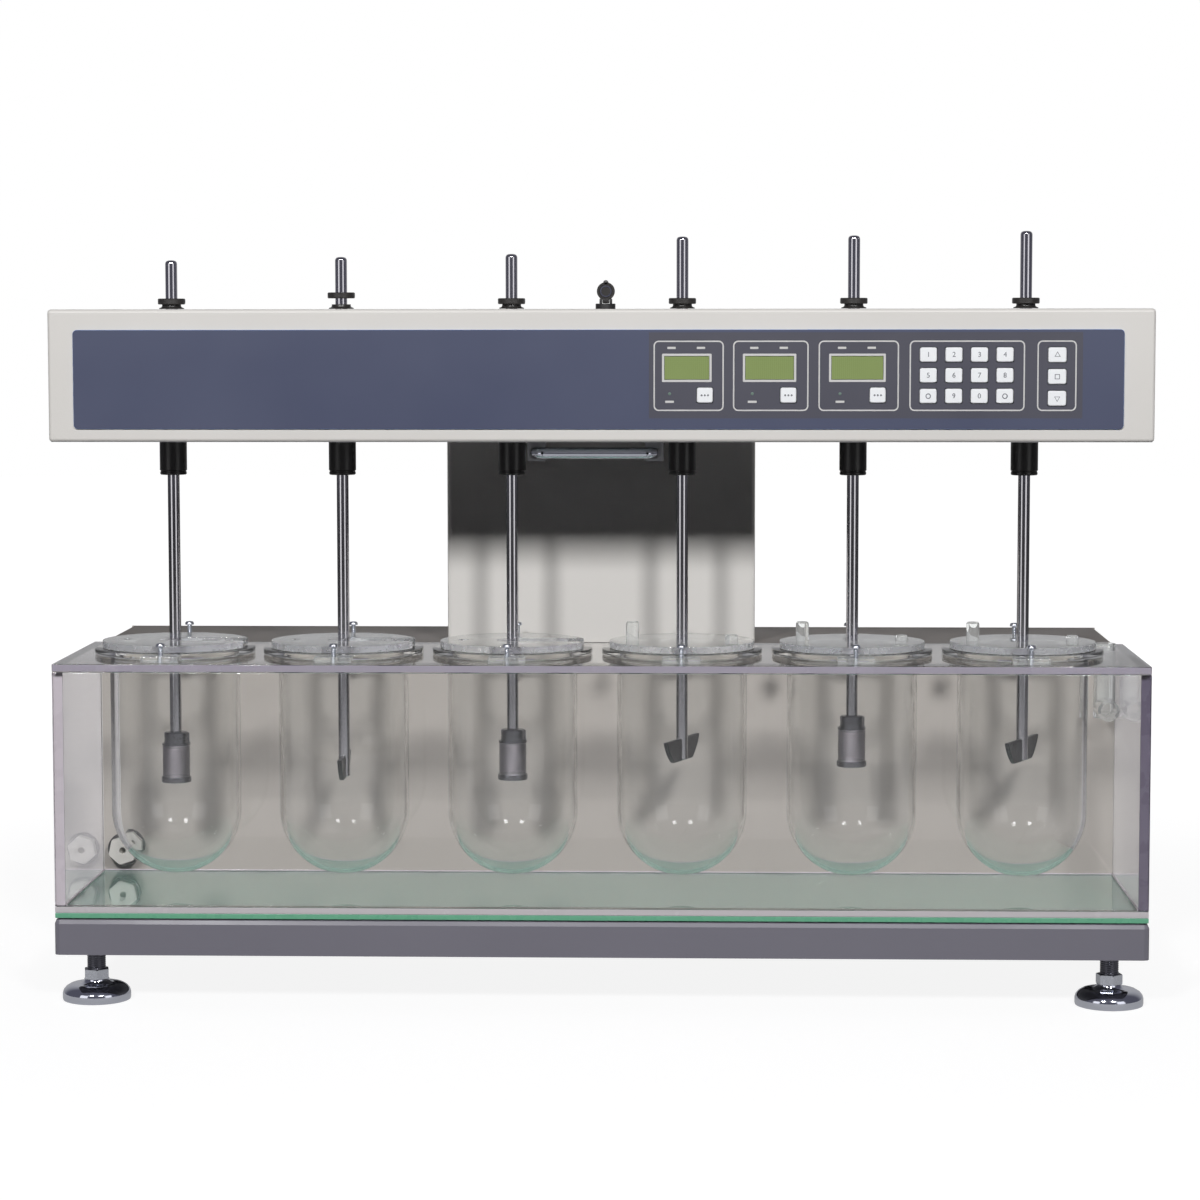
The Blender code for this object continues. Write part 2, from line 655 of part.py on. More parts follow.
# Vessel clamps on the top plate: a block beside each rim, a finger over it at the back, and a screw
half_clamp = CLAMP_WIDTH / 2
block_bottom = PLATE_TOP - FIT_GAP
block_top = PLATE_TOP + CLAMP_THICKNESS
finger_bottom = FLANGE_TOP + FIT_GAP
finger_top = finger_bottom + CLAMP_FINGER_THICKNESS
screw_radius = CLAMP_SCREW_DIAMETER / 2
head_radius = CLAMP_SCREW_HEAD_DIAMETER / 2
for index in range(STATION_COUNT):
    for end in (-1, 1):
        clamp_x = station_x(index)
        clamp_near = STATION_Y + end * (FLANGE_DIAMETER / 2 + 2 * FIT_GAP)
        clamp_far = clamp_near + end * CLAMP_DEPTH
        clamp_low_y = min(clamp_near, clamp_far)
        clamp_high_y = max(clamp_near, clamp_far)
        seat = block_top
        if end > 0:
            seat = finger_top
        bm = bmesh.new()
        add_box(
            bm, (clamp_x - half_clamp, clamp_low_y, block_bottom),
            (clamp_x + half_clamp, clamp_high_y, seat),
        )
        cut_piece(top_plate, bm, "UNION")
        if end > 0:
            bm = bmesh.new()
            add_box(
                bm, (clamp_x - half_clamp, clamp_low_y - CLAMP_FINGER_GRIP, finger_bottom),
                (clamp_x + half_clamp, clamp_low_y + CLAMP_FINGER_GRIP, finger_top),
            )
            cut_piece(top_plate, bm, "UNION")
        head_bottom = seat + CLAMP_SCREW_RISE
        head_top = head_bottom + CLAMP_SCREW_HEAD_HEIGHT
        screw_profile = [
            (0.0, seat - FIT_GAP),
            (screw_radius, seat - FIT_GAP),
            (screw_radius, head_bottom),
            (head_radius, head_bottom),
            (head_radius, head_top - CLAMP_SCREW_HEAD_HEIGHT / 3),
            (0.0, head_top),
        ]
        bm = bmesh.new()
        add_turned(bm, screw_profile, (clamp_x, (clamp_near + clamp_far) / 2, 0), SMALL_STEPS)
        cut_piece(top_plate, bm, "UNION")

# Glass vessels: a straight wall, a round bottom and a flat rim
inner_radius = vessel_radius - VESSEL_WALL
flange_radius = FLANGE_DIAMETER / 2
bowl_centre = VESSEL_BOTTOM + vessel_radius
vessel_profile = []
for step in range(BOWL_STEPS + 1):
    angle = step * math.pi / 2 / BOWL_STEPS
    vessel_profile.append((inner_radius * math.sin(angle), bowl_centre - inner_radius * math.cos(angle)))
vessel_profile.append((inner_radius, FLANGE_TOP - VESSEL_WALL / 3))
vessel_profile.append((inner_radius + VESSEL_WALL / 3, FLANGE_TOP))
vessel_profile.append((flange_radius - VESSEL_WALL / 3, FLANGE_TOP))
vessel_profile.append((flange_radius, FLANGE_TOP - VESSEL_WALL / 3))
vessel_profile.append((flange_radius, FLANGE_BOTTOM))
vessel_profile.append((vessel_radius, FLANGE_BOTTOM))
for step in range(BOWL_STEPS, -1, -1):
    angle = step * math.pi / 2 / BOWL_STEPS
    vessel_profile.append((vessel_radius * math.sin(angle), bowl_centre - vessel_radius * math.cos(angle)))
for index in range(STATION_COUNT):
    vessel_place = (station_x(index), STATION_Y, 0)
    bm = bmesh.new()
    add_turned(bm, vessel_profile, vessel_place, LARGE_STEPS)
    vessel_pivot = (station_x(index), STATION_Y, FLANGE_BOTTOM)
    make_piece("vessel_" + str(index + 1), bm, "vessel_glass", vessel_pivot)

# Drain fitting: a stem through the back wall of the tank, with its washer and hexagon head inside
washer_back = wall_inside - FIT_GAP
washer_front = washer_back - DRAIN_WASHER_THICKNESS
nut_front = washer_front - DRAIN_NUT_HEIGHT
stem_back = TANK_BACK + DRAIN_STEM_REACH
drain_place = (drain_x, 0, drain_z)
drain_profile = [
    (0.0, washer_front - FIT_GAP),
    (DRAIN_WASHER_DIAMETER / 2, washer_front - FIT_GAP),
    (DRAIN_WASHER_DIAMETER / 2, washer_back),
    (stem_radius, washer_back),
    (stem_radius, stem_back),
    (0.0, stem_back),
]
bm = bmesh.new()
add_turned(bm, drain_profile, drain_place, SHAFT_STEPS, axis="Y")
drain_fitting = make_piece("drain_fitting", bm, "white_plastic")
bm = bmesh.new()
drain_nut_profile = [
    (0.0, nut_front),
    (DRAIN_NUT_FLATS / 2, nut_front),
    (hex_radius(DRAIN_NUT_FLATS), nut_front + DRAIN_NUT_HEIGHT / 6),
    (hex_radius(DRAIN_NUT_FLATS), washer_front),
    (0.0, washer_front),
]
add_turned(bm, drain_nut_profile, drain_place, 6, axis="Y")
cut_piece(drain_fitting, bm, "UNION")
bm = bmesh.new()
drain_bore = DRAIN_BORE_DIAMETER / 2
bore_front = nut_front - CUT_OVERRUN
bore_back = stem_back + CUT_OVERRUN
add_rod(bm, drain_place, drain_bore, bore_front, bore_back, SMALL_STEPS, axis="Y")
cut_piece(drain_fitting, bm)

# Water inlet: an elbow through the top plate that opens towards the front
inlet_radius = INLET_DIAMETER / 2
inlet_bore = INLET_BORE_DIAMETER / 2
inlet_z = PLATE_TOP - INLET_DROP
inlet_top = PLATE_TOP + INLET_RISE
inlet_front = inlet_y - INLET_REACH
inlet_place = (inlet_x, 0, inlet_z)
arm_share = 0.97
sump_share = 0.7
bm = bmesh.new()
add_rod(bm, (inlet_x, inlet_y, 0), inlet_radius, inlet_z - inlet_radius, inlet_top, SHAFT_STEPS)
inlet_elbow = make_piece("inlet_elbow", bm, "acrylic")
bm = bmesh.new()
add_rod(bm, inlet_place, inlet_radius * arm_share, inlet_front, inlet_y, SHAFT_STEPS, axis="Y")
cut_piece(inlet_elbow, bm, "UNION")
bm = bmesh.new()
bore_floor = inlet_z - inlet_bore * sump_share
add_rod(bm, (inlet_x, inlet_y, 0), inlet_bore, bore_floor, inlet_top + CUT_OVERRUN, SHAFT_STEPS)
cut_piece(inlet_elbow, bm)
bm = bmesh.new()
arm_bore = inlet_bore * arm_share
arm_bore_back = inlet_y + inlet_bore * sump_share
add_rod(bm, inlet_place, arm_bore, inlet_front - CUT_OVERRUN, arm_bore_back, SHAFT_STEPS, axis="Y")
cut_piece(inlet_elbow, bm, solver="MANIFOLD")

# Rear housing: a folded sheet box, open at the back, with a hole for the drain stem
half_housing = HOUSING_WIDTH / 2
housing_bottom = BASE_TOP + FIT_GAP
cover_front = HOUSING_BACK - COVER_THICKNESS
shell_back = cover_front - FIT_GAP
bm = bmesh.new()
add_box(
    bm, (-half_housing, HOUSING_FRONT, housing_bottom), (half_housing, shell_back, PLATE_TOP),
    HOUSING_EDGE_RADIUS, 2, "depth",
)
rear_housing = make_piece("rear_housing", bm, "painted_warm_grey")
bm = bmesh.new()
housing_inner_front = HOUSING_FRONT + HOUSING_WALL
housing_inner_low = (HOUSING_WALL - half_housing, housing_inner_front, housing_bottom + HOUSING_WALL)
housing_inner_high = (half_housing - HOUSING_WALL, shell_back + CUT_OVERRUN, PLATE_TOP - HOUSING_WALL)
add_box(bm, housing_inner_low, housing_inner_high)
cut_piece(rear_housing, bm)
bm = bmesh.new()
add_rod(
    bm, (drain_x, 0, drain_z), stem_radius + 2 * FIT_GAP, HOUSING_FRONT - CUT_OVERRUN,
    HOUSING_FRONT + HOUSING_WALL + CUT_OVERRUN, SHAFT_STEPS, axis="Y",
)
cut_piece(rear_housing, bm)

# Rear cover: a plate with vents and the mains inlet, a block with a pocket and three pins
bm = bmesh.new()
cover_low = (-half_housing, cover_front, housing_bottom)
cover_high = (half_housing, HOUSING_BACK, PLATE_TOP)
add_box(bm, cover_low, cover_high, COVER_THICKNESS / 3, 1, "depth")
rear_cover = make_piece("rear_cover", bm, "painted_warm_grey")
bm = bmesh.new()
vent_top = PLATE_TOP - VENT_HEIGHT / 2
for side in (-1, 1):
    for index in range(VENT_COUNT):
        vent_x = side * VENT_SIDE_OFFSET + (index - (VENT_COUNT - 1) / 2) * VENT_PITCH
        add_box(
            bm, (vent_x - VENT_WIDTH / 2, cover_front - CUT_OVERRUN, vent_top - VENT_HEIGHT),
            (vent_x + VENT_WIDTH / 2, HOUSING_BACK + CUT_OVERRUN, vent_top),
        )
cut_piece(rear_cover, bm)
socket_z = housing_bottom + MAINS_INLET_RISE
socket_half_width = MAINS_INLET_WIDTH / 2
socket_half_height = MAINS_INLET_HEIGHT / 2
socket_front = HOUSING_BACK - MAINS_INLET_DEPTH
socket_back = cover_front + COVER_THICKNESS / 2
bm = bmesh.new()
add_box(
    bm, (MAINS_INLET_OFFSET - socket_half_width, socket_front, socket_z - socket_half_height),
    (MAINS_INLET_OFFSET + socket_half_width, socket_back, socket_z + socket_half_height),
)
cut_piece(rear_cover, bm, "UNION")
bm = bmesh.new()
pocket_half_width = socket_half_width - MAINS_INLET_WALL
pocket_half_height = socket_half_height - MAINS_INLET_WALL
pocket_front = socket_front + MAINS_INLET_WALL
add_box(
    bm, (MAINS_INLET_OFFSET - pocket_half_width, pocket_front, socket_z - pocket_half_height),
    (MAINS_INLET_OFFSET + pocket_half_width, HOUSING_BACK + CUT_OVERRUN, socket_z + pocket_half_height),
)
cut_piece(rear_cover, bm)
bm = bmesh.new()
for pin in (-1, 0, 1):
    pin_x = MAINS_INLET_OFFSET + pin * MAINS_PIN_PITCH
    pin_z = socket_z + (1 - 2 * abs(pin)) * MAINS_PIN_HEIGHT / 4
    pin_front = pocket_front - MAINS_INLET_WALL / 2
    pin_back = HOUSING_BACK - MAINS_INLET_WALL
    add_box(
        bm, (pin_x - MAINS_PIN_WIDTH / 2, pin_front, pin_z - MAINS_PIN_HEIGHT / 2),
        (pin_x + MAINS_PIN_WIDTH / 2, pin_back, pin_z + MAINS_PIN_HEIGHT / 2),
    )
cut_piece(rear_cover, bm, "UNION")

# Circulator on the housing floor: a pump and an in-line water heater on two saddles
floor_z = housing_bottom + HOUSING_WALL + FIT_GAP
saddle_top = floor_z + SADDLE_HEIGHT
unit_y = (HOUSING_FRONT + HOUSING_BACK) / 2
pump_radius = PUMP_DIAMETER / 2
volute_radius = PUMP_VOLUTE_DIAMETER / 2
heater_radius = HEATER_DIAMETER / 2
pipe_radius = PIPE_DIAMETER / 2
unit_z = saddle_top + volute_radius
unit_left = -half_housing + CIRCULATOR_SIDE_GAP
motor_end = PUMP_LENGTH - PUMP_VOLUTE_LENGTH
heater_start = PUMP_LENGTH + PIPE_LENGTH
heater_end = heater_start + HEATER_LENGTH
circulator_profile = [
    (0.0, 0.0),
    (pump_radius, 0.0),
    (pump_radius, motor_end),
    (volute_radius, motor_end),
    (volute_radius, PUMP_LENGTH),
    (pipe_radius, PUMP_LENGTH),
    (pipe_radius, heater_start),
    (heater_radius, heater_start),
    (heater_radius, heater_end),
    (0.0, heater_end),
]
bm = bmesh.new()
add_turned(bm, circulator_profile, (unit_left, unit_y, unit_z), SHAFT_STEPS, axis="X")
circulator = make_piece("circulator", bm, "steel")
bm = bmesh.new()
half_saddle = SADDLE_WIDTH / 2
add_box(
    bm, (unit_left + motor_end, unit_y - half_saddle, floor_z),
    (unit_left + PUMP_LENGTH, unit_y + half_saddle, unit_z - volute_radius / 2),
)
add_box(
    bm, (unit_left + heater_end - PUMP_VOLUTE_LENGTH, unit_y - half_saddle, floor_z),
    (unit_left + heater_end, unit_y + half_saddle, unit_z - heater_radius / 2),
)
cut_piece(circulator, bm, "UNION")

# Column: an open-topped square tube with a floor, on which the two guide rods of the lift stand
bm = bmesh.new()
column_half = COLUMN_WIDTH / 2
column_low = (STATION_SHIFT - column_half, COLUMN_FRONT, COLUMN_BOTTOM)
column_high = (STATION_SHIFT + column_half, COLUMN_BACK, COLUMN_TOP)
add_box(bm, column_low, column_high, COLUMN_EDGE_RADIUS, 2, "upright")
column_shell = make_piece("column", bm, "painted_white")
bm = bmesh.new()
column_floor = COLUMN_BOTTOM + COLUMN_FLOOR
column_inner_low = (column_low[0] + COLUMN_WALL, column_low[1] + COLUMN_WALL, column_floor)
column_inner_high = (column_high[0] - COLUMN_WALL, column_high[1] - COLUMN_WALL, COLUMN_TOP + CUT_OVERRUN)
add_box(bm, column_inner_low, column_inner_high)
cut_piece(column_shell, bm)
rod_radius = ROD_DIAMETER / 2
rod_top = COLUMN_TOP - ROD_TOP_MARGIN
rod_places = []
for side in (-1, 1):
    rod_places.append((STATION_SHIFT + side * ROD_SPACING / 2, COLUMN_MID_Y, 0))
bm = bmesh.new()
for rod_place in rod_places:
    add_rod(bm, rod_place, rod_radius, column_floor - COLUMN_FLOOR / 2, rod_top, SHAFT_STEPS)
cut_piece(column_shell, bm, "UNION")

# Lift mast: a box that slides out of the column, closed on top, bored for the rods, with a head plate
bm = bmesh.new()
mast_low = (STATION_SHIFT - MAST_HALF_WIDTH, MAST_FRONT, MAST_BOTTOM)
mast_high = (STATION_SHIFT + MAST_HALF_WIDTH, MAST_BACK, MAST_TOP)
add_box(bm, mast_low, mast_high, COLUMN_EDGE_RADIUS / 2, 1, "upright")
lift_mast = make_piece("lift_mast", bm, "painted_white", head_group.location, head_group)
mast_inside_low = (mast_low[0] + MAST_WALL, mast_low[1] + MAST_WALL, MAST_BOTTOM + MAST_BEARING_HEIGHT)
mast_inside_high = (mast_high[0] - MAST_WALL, mast_high[1] - MAST_WALL, MAST_TOP - MAST_WALL)
bm = bmesh.new()
add_box(bm, mast_inside_low, mast_inside_high)
cut_piece(lift_mast, bm)
bm = bmesh.new()
for rod_place in rod_places:
    rod_bore = rod_radius + ROD_BORE_CLEARANCE
    bore_top = MAST_BOTTOM + MAST_BEARING_HEIGHT + CUT_OVERRUN
    add_rod(bm, rod_place, rod_bore, MAST_BOTTOM - CUT_OVERRUN, bore_top, SHAFT_STEPS)
cut_piece(lift_mast, bm)
bm = bmesh.new()
mast_plate_top = MAST_TOP - MAST_PLATE_DROP
mast_plate_bottom = COLUMN_TOP + HEAD_DROP_TRAVEL + MAST_PLATE_GAP
mast_plate_low = (STATION_SHIFT - MAST_PLATE_WIDTH / 2, HEAD_BACK + FIT_GAP, mast_plate_bottom)
mast_plate_high = (STATION_SHIFT + MAST_PLATE_WIDTH / 2, MAST_FRONT + MAST_WALL / 2, mast_plate_top)
add_box(bm, mast_plate_low, mast_plate_high)
cut_piece(lift_mast, bm, "UNION")

# Head housing: a folded cover, open below, with holes for the spindles, the probe socket and the keys
bm = bmesh.new()
head_half = HEAD_WIDTH / 2
head_low = (-head_half, HEAD_FRONT, HEAD_BOTTOM)
head_high = (head_half, HEAD_BACK, HEAD_TOP)
add_box(bm, head_low, head_high, HEAD_EDGE_RADIUS, 2, "upper")
head_housing = make_piece("head_housing", bm, "painted_white", head_group.location, head_group)
bm = bmesh.new()
head_inside_low = (-head_half + HEAD_WALL, HEAD_FRONT + HEAD_WALL, HEAD_BOTTOM - CUT_OVERRUN)
head_inside_high = (head_half - HEAD_WALL, HEAD_BACK - HEAD_WALL, HEAD_TOP - HEAD_WALL)
add_box(bm, head_inside_low, head_inside_high)
cut_piece(head_housing, bm)
socket_place = (STATION_SHIFT + SOCKET_SHIFT, HEAD_FRONT + SOCKET_FRONT_OFFSET, 0)
top_cut_low = HEAD_TOP - HEAD_WALL - CUT_OVERRUN
top_cut_high = HEAD_TOP + CUT_OVERRUN
bm = bmesh.new()
for index in range(STATION_COUNT):
    spindle_hole = SPINDLE_DIAMETER / 2 + 2 * RUN_CLEARANCE
    add_rod(bm, (station_x(index), STATION_Y, 0), spindle_hole, top_cut_low, top_cut_high, SHAFT_STEPS)
control_left = PANEL_LEFT + PANEL_WIDTH * CONTROL_LEFT_SHARE
control_right = PANEL_LEFT + PANEL_WIDTH * CONTROL_RIGHT_SHARE
control_foot = PANEL_BOTTOM + PANEL_HEIGHT * CONTROL_FOOT_SHARE
control_top = PANEL_BOTTOM + PANEL_HEIGHT * CONTROL_TOP_SHARE
add_box(
    bm, (control_left, HEAD_FRONT - CUT_OVERRUN, control_foot),
    (control_right, HEAD_FRONT + HEAD_WALL + CUT_OVERRUN, control_top),
)
cut_piece(head_housing, bm)

# Probe socket: a flanged bush fixed in the top of the head
bm = bmesh.new()
socket_radius = SOCKET_DIAMETER / 2
socket_bore = SOCKET_BORE_DIAMETER / 2
socket_stem = SOCKET_STEM_DIAMETER / 2
socket_bottom = HEAD_TOP - FIT_GAP
socket_top = HEAD_TOP + SOCKET_HEIGHT
stem_bottom = socket_bottom - SOCKET_STEM_DROP
socket_profile = [
    (0.0, stem_bottom),
    (socket_stem, stem_bottom),
    (socket_stem, socket_bottom),
    (socket_radius, socket_bottom),
    (socket_radius, socket_top),
    (0.0, socket_top),
]
add_turned(bm, socket_profile, socket_place, SHAFT_STEPS)
cut_piece(head_housing, bm, "UNION")
bm = bmesh.new()
bore_bottom = socket_bottom - SOCKET_STEM_DROP / 2
add_rod(bm, socket_place, socket_bore, bore_bottom, socket_top + CUT_OVERRUN, SHAFT_STEPS)
cut_piece(head_housing, bm)

# Probe cap: a disc with a thumb tab, standing open on its hinge pin behind the socket
hinge_z = socket_top + CAP_THICKNESS / 2 + FIT_GAP
hinge_y = socket_place[1] + CAP_DIAMETER / 2 + HINGE_DIAMETER / 2
hinge_place = (socket_place[0], hinge_y, hinge_z)
bm = bmesh.new()
cap_z = hinge_z + CAP_DIAMETER / 2 + HINGE_DIAMETER / 2
half_cap = CAP_THICKNESS / 2
cap_place = (hinge_place[0], hinge_y, cap_z)
add_rod(bm, cap_place, CAP_DIAMETER / 2, -half_cap, half_cap, SHAFT_STEPS, axis="Y")
probe_cap = make_piece("probe_cap", bm, "black_plastic", hinge_place, head_group)
bm = bmesh.new()
half_pin = HINGE_PIN_LENGTH / 2
arm_low = (hinge_place[0] - half_pin / 2, hinge_y - HINGE_DIAMETER / 3, hinge_z)
arm_high = (hinge_place[0] + half_pin / 2, hinge_y + HINGE_DIAMETER / 3, hinge_z + HINGE_DIAMETER)
add_box(bm, arm_low, arm_high)
cut_piece(probe_cap, bm, "UNION")
bm = bmesh.new()
add_rod(bm, hinge_place, HINGE_DIAMETER / 2, -half_pin, half_pin, SMALL_STEPS, axis="X")
cut_piece(probe_cap, bm, "UNION")
bm = bmesh.new()
tab_place = (hinge_place[0], hinge_y, cap_z + CAP_DIAMETER / 2)
half_tab = half_cap * CAP_TAB_SHARE
add_rod(bm, tab_place, CAP_TAB_DIAMETER / 2, -half_tab, half_tab, SMALL_STEPS, axis="Y")
cut_piece(probe_cap, bm, "UNION")

# Head base plate: closes the head from below, with a bearing bush a station and two handle tabs
bm = bmesh.new()
plate_half = head_half - HEAD_WALL - FIT_GAP
base_plate_front = HEAD_FRONT + HEAD_WALL + FIT_GAP
base_plate_back = HEAD_BACK - HEAD_WALL - FIT_GAP
base_plate_top = HEAD_BOTTOM + HEAD_PLATE_THICKNESS
add_box(bm, (-plate_half, base_plate_front, HEAD_BOTTOM), (plate_half, base_plate_back, base_plate_top))
base_plate = make_piece("head_base_plate", bm, "painted_white", head_group.location, head_group)
handle_x = STATION_SHIFT + HANDLE_SHIFT
handle_z = HEAD_BOTTOM - HANDLE_DROP
leg_radius = HANDLE_DIAMETER / 2
leg_offset = HANDLE_LENGTH / 2 - leg_radius
tab_back = base_plate_back - HANDLE_TAB_INSET
tab_front = tab_back - HANDLE_TAB_THICKNESS
bm = bmesh.new()
for side in (-1, 1):
    tab_x = handle_x + side * leg_offset
    tab_low = (tab_x - HANDLE_TAB_WIDTH / 2, tab_front, handle_z - leg_radius - FIT_GAP)
    tab_high = (tab_x + HANDLE_TAB_WIDTH / 2, tab_back, HEAD_BOTTOM + HEAD_PLATE_THICKNESS / 2)
    add_box(bm, tab_low, tab_high)
cut_piece(base_plate, bm, "UNION")
bm = bmesh.new()
for index in range(STATION_COUNT):
    bush_place = (station_x(index), STATION_Y, 0)
    bush_low = HEAD_BOTTOM - BUSH_DROP
    add_rod(bm, bush_place, BUSH_DIAMETER / 2, bush_low, base_plate_top + BUSH_RISE, SHAFT_STEPS)
cut_piece(base_plate, bm, "UNION")
bm = bmesh.new()
for index in range(STATION_COUNT):
    bush_place = (station_x(index), STATION_Y, 0)
    bore_low = HEAD_BOTTOM - BUSH_DROP - CUT_OVERRUN
    bore_high = base_plate_top + BUSH_RISE + CUT_OVERRUN
    add_rod(bm, bush_place, SPINDLE_DIAMETER / 2 + RUN_CLEARANCE, bore_low, bore_high, SHAFT_STEPS)
cut_piece(base_plate, bm)

# Lift handle: a round bar that bends back to the two tabs
handle_curve = bpy.data.curves.new("handle_path", "CURVE")
handle_curve.dimensions = "3D"
handle_curve.bevel_depth = leg_radius
handle_curve.bevel_resolution = 3
handle_curve.use_fill_caps = True
bar_y = tab_front - HANDLE_REACH
leg_back = tab_front - FIT_GAP
bend = HANDLE_BEND_RADIUS
path = [(-leg_offset, leg_back)]
for step in range(BEND_STEPS + 1):
    angle = step * math.pi / 2 / BEND_STEPS
    path.append((-leg_offset + bend - bend * math.cos(angle), bar_y + bend - bend * math.sin(angle)))
for step in range(BEND_STEPS, -1, -1):
    angle = step * math.pi / 2 / BEND_STEPS
    path.append((leg_offset - bend + bend * math.cos(angle), bar_y + bend - bend * math.sin(angle)))
path.append((leg_offset, leg_back))
spline = handle_curve.splines.new("POLY")
spline.points.add(len(path) - 1)
for point, (path_x, path_y) in zip(spline.points, path):
    point.co = (path_x, path_y - leg_back, 0.0, 1.0)
lift_handle = bpy.data.objects.new("lift_handle", handle_curve)
bpy.context.scene.collection.objects.link(lift_handle)
handle_curve.materials.append(make_material("lift_handle_chrome", *MATERIAL_LOOKS["chrome"]))
pivots["lift_handle"] = Vector((handle_x, leg_back, handle_z))
lift_handle.parent = head_group
lift_handle.location = pivots["lift_handle"] - pivots["head_group"]

# Shafts: each a rod with a stop collar, its spindle and pulley, and a basket or a paddle below
shaft_radius = SHAFT_DIAMETER / 2
collar_radius = COLLAR_DIAMETER / 2
spindle_radius = SPINDLE_DIAMETER / 2
pulley_radius = PULLEY_DIAMETER / 2
pulley_flange = PULLEY_FLANGE_DIAMETER / 2
skirt_bottom = HEAD_TOP + RUN_CLEARANCE
spindle_profile = [
    (shaft_radius, SPINDLE_BOTTOM),
    (spindle_radius, SPINDLE_BOTTOM),
    (spindle_radius, PULLEY_BOTTOM),
    (pulley_flange, PULLEY_BOTTOM),
    (pulley_flange, PULLEY_BOTTOM + PULLEY_FLANGE_HEIGHT),
    (pulley_radius, PULLEY_BOTTOM + PULLEY_FLANGE_HEIGHT),
    (pulley_radius, PULLEY_TOP),
    (spindle_radius, PULLEY_TOP),
    (spindle_radius, skirt_bottom),
    (SPINDLE_SKIRT_DIAMETER / 2, skirt_bottom),
    (spindle_radius, skirt_bottom + SPINDLE_SKIRT_HEIGHT),
]
dome_shares = (0.6, 0.75, 0.35)
for index in range(STATION_COUNT):
    place = (station_x(index), STATION_Y, 0)
    shaft_top = HEAD_TOP + SHAFT_TOP_RISE + SHAFT_TOP_SPREAD * SHAFT_TOP_SHARES[index]
    tool_bottom = HEAD_BOTTOM - TOOL_REACH + TOOL_SPREAD * TOOL_LEVEL_SHARES[index]
    collar_bottom = SPINDLE_TOP
    collar_profile = [(spindle_radius, collar_bottom)]
    if index == RAISED_STATION:
        collar_bottom = SPINDLE_TOP + RAISED_COLLAR_LIFT
        collar_profile = [
            (spindle_radius, SPINDLE_TOP),
            (shaft_radius, SPINDLE_TOP),
            (shaft_radius, collar_bottom),
        ]
    collar_profile.append((collar_radius, collar_bottom))
    collar_profile.append((collar_radius, collar_bottom + COLLAR_HEIGHT))
    collar_profile.append((shaft_radius, collar_bottom + COLLAR_HEIGHT))
    dome = shaft_radius * dome_shares[0]
    head_profile = [
        (shaft_radius, shaft_top - dome),
        (shaft_radius * dome_shares[1], shaft_top - dome * dome_shares[2]),
        (0.0, shaft_top),
    ]
    if index % 2 == 0:
        mesh_bottom = tool_bottom + BASKET_RIM_HEIGHT
        mesh_top = mesh_bottom + BASKET_MESH_HEIGHT
        cap_top = mesh_top + BASKET_CAP_HEIGHT
        tool_profile = [
            (0.0, tool_bottom),
            (BASKET_RIM_DIAMETER / 2, tool_bottom),
            (BASKET_RIM_DIAMETER / 2, mesh_bottom),
            (BASKET_DIAMETER / 2, mesh_bottom),
            (BASKET_DIAMETER / 2, mesh_top + BASKET_CAP_FLANGE_HEIGHT),
            (BASKET_CAP_DIAMETER / 2, mesh_top + BASKET_CAP_FLANGE_HEIGHT),
            (BASKET_CAP_DIAMETER / 2, cap_top),
            (shaft_radius, cap_top),
        ]
    else:
        tool_profile = [(0.0, tool_bottom), (shaft_radius, tool_bottom)]
    bm = bmesh.new()
    add_turned(bm, tool_profile + spindle_profile + collar_profile + head_profile, place, SHAFT_STEPS)
    pivot = (station_x(index), STATION_Y, HEAD_BOTTOM)
    shaft = make_piece("shaft_" + str(index + 1), bm, "steel", pivot, head_group)
    if index % 2 == 1:
        half_top = PADDLE_TOP_CHORD / 2
        half_bottom = PADDLE_BOTTOM_CHORD / 2
        half_blade = PADDLE_THICKNESS / 2
        blade_bottom = tool_bottom - PADDLE_DROP
        blade_points = [
            (-half_bottom, blade_bottom),
            (half_bottom, blade_bottom),
            (half_top, blade_bottom + PADDLE_HEIGHT),
            (-half_top, blade_bottom + PADDLE_HEIGHT),
        ]
        bm = bmesh.new()
        add_outline(bm, blade_points, -half_blade, half_blade, axis="Y")
        turn = Matrix.Rotation(math.radians(PADDLE_TURN_DEGREES[index]), 3, "Z")
        bmesh.ops.rotate(bm, cent=(0, 0, 0), matrix=turn, verts=bm.verts)
        bmesh.ops.translate(bm, vec=place, verts=bm.verts)
        cut_piece(shaft, bm, "UNION")

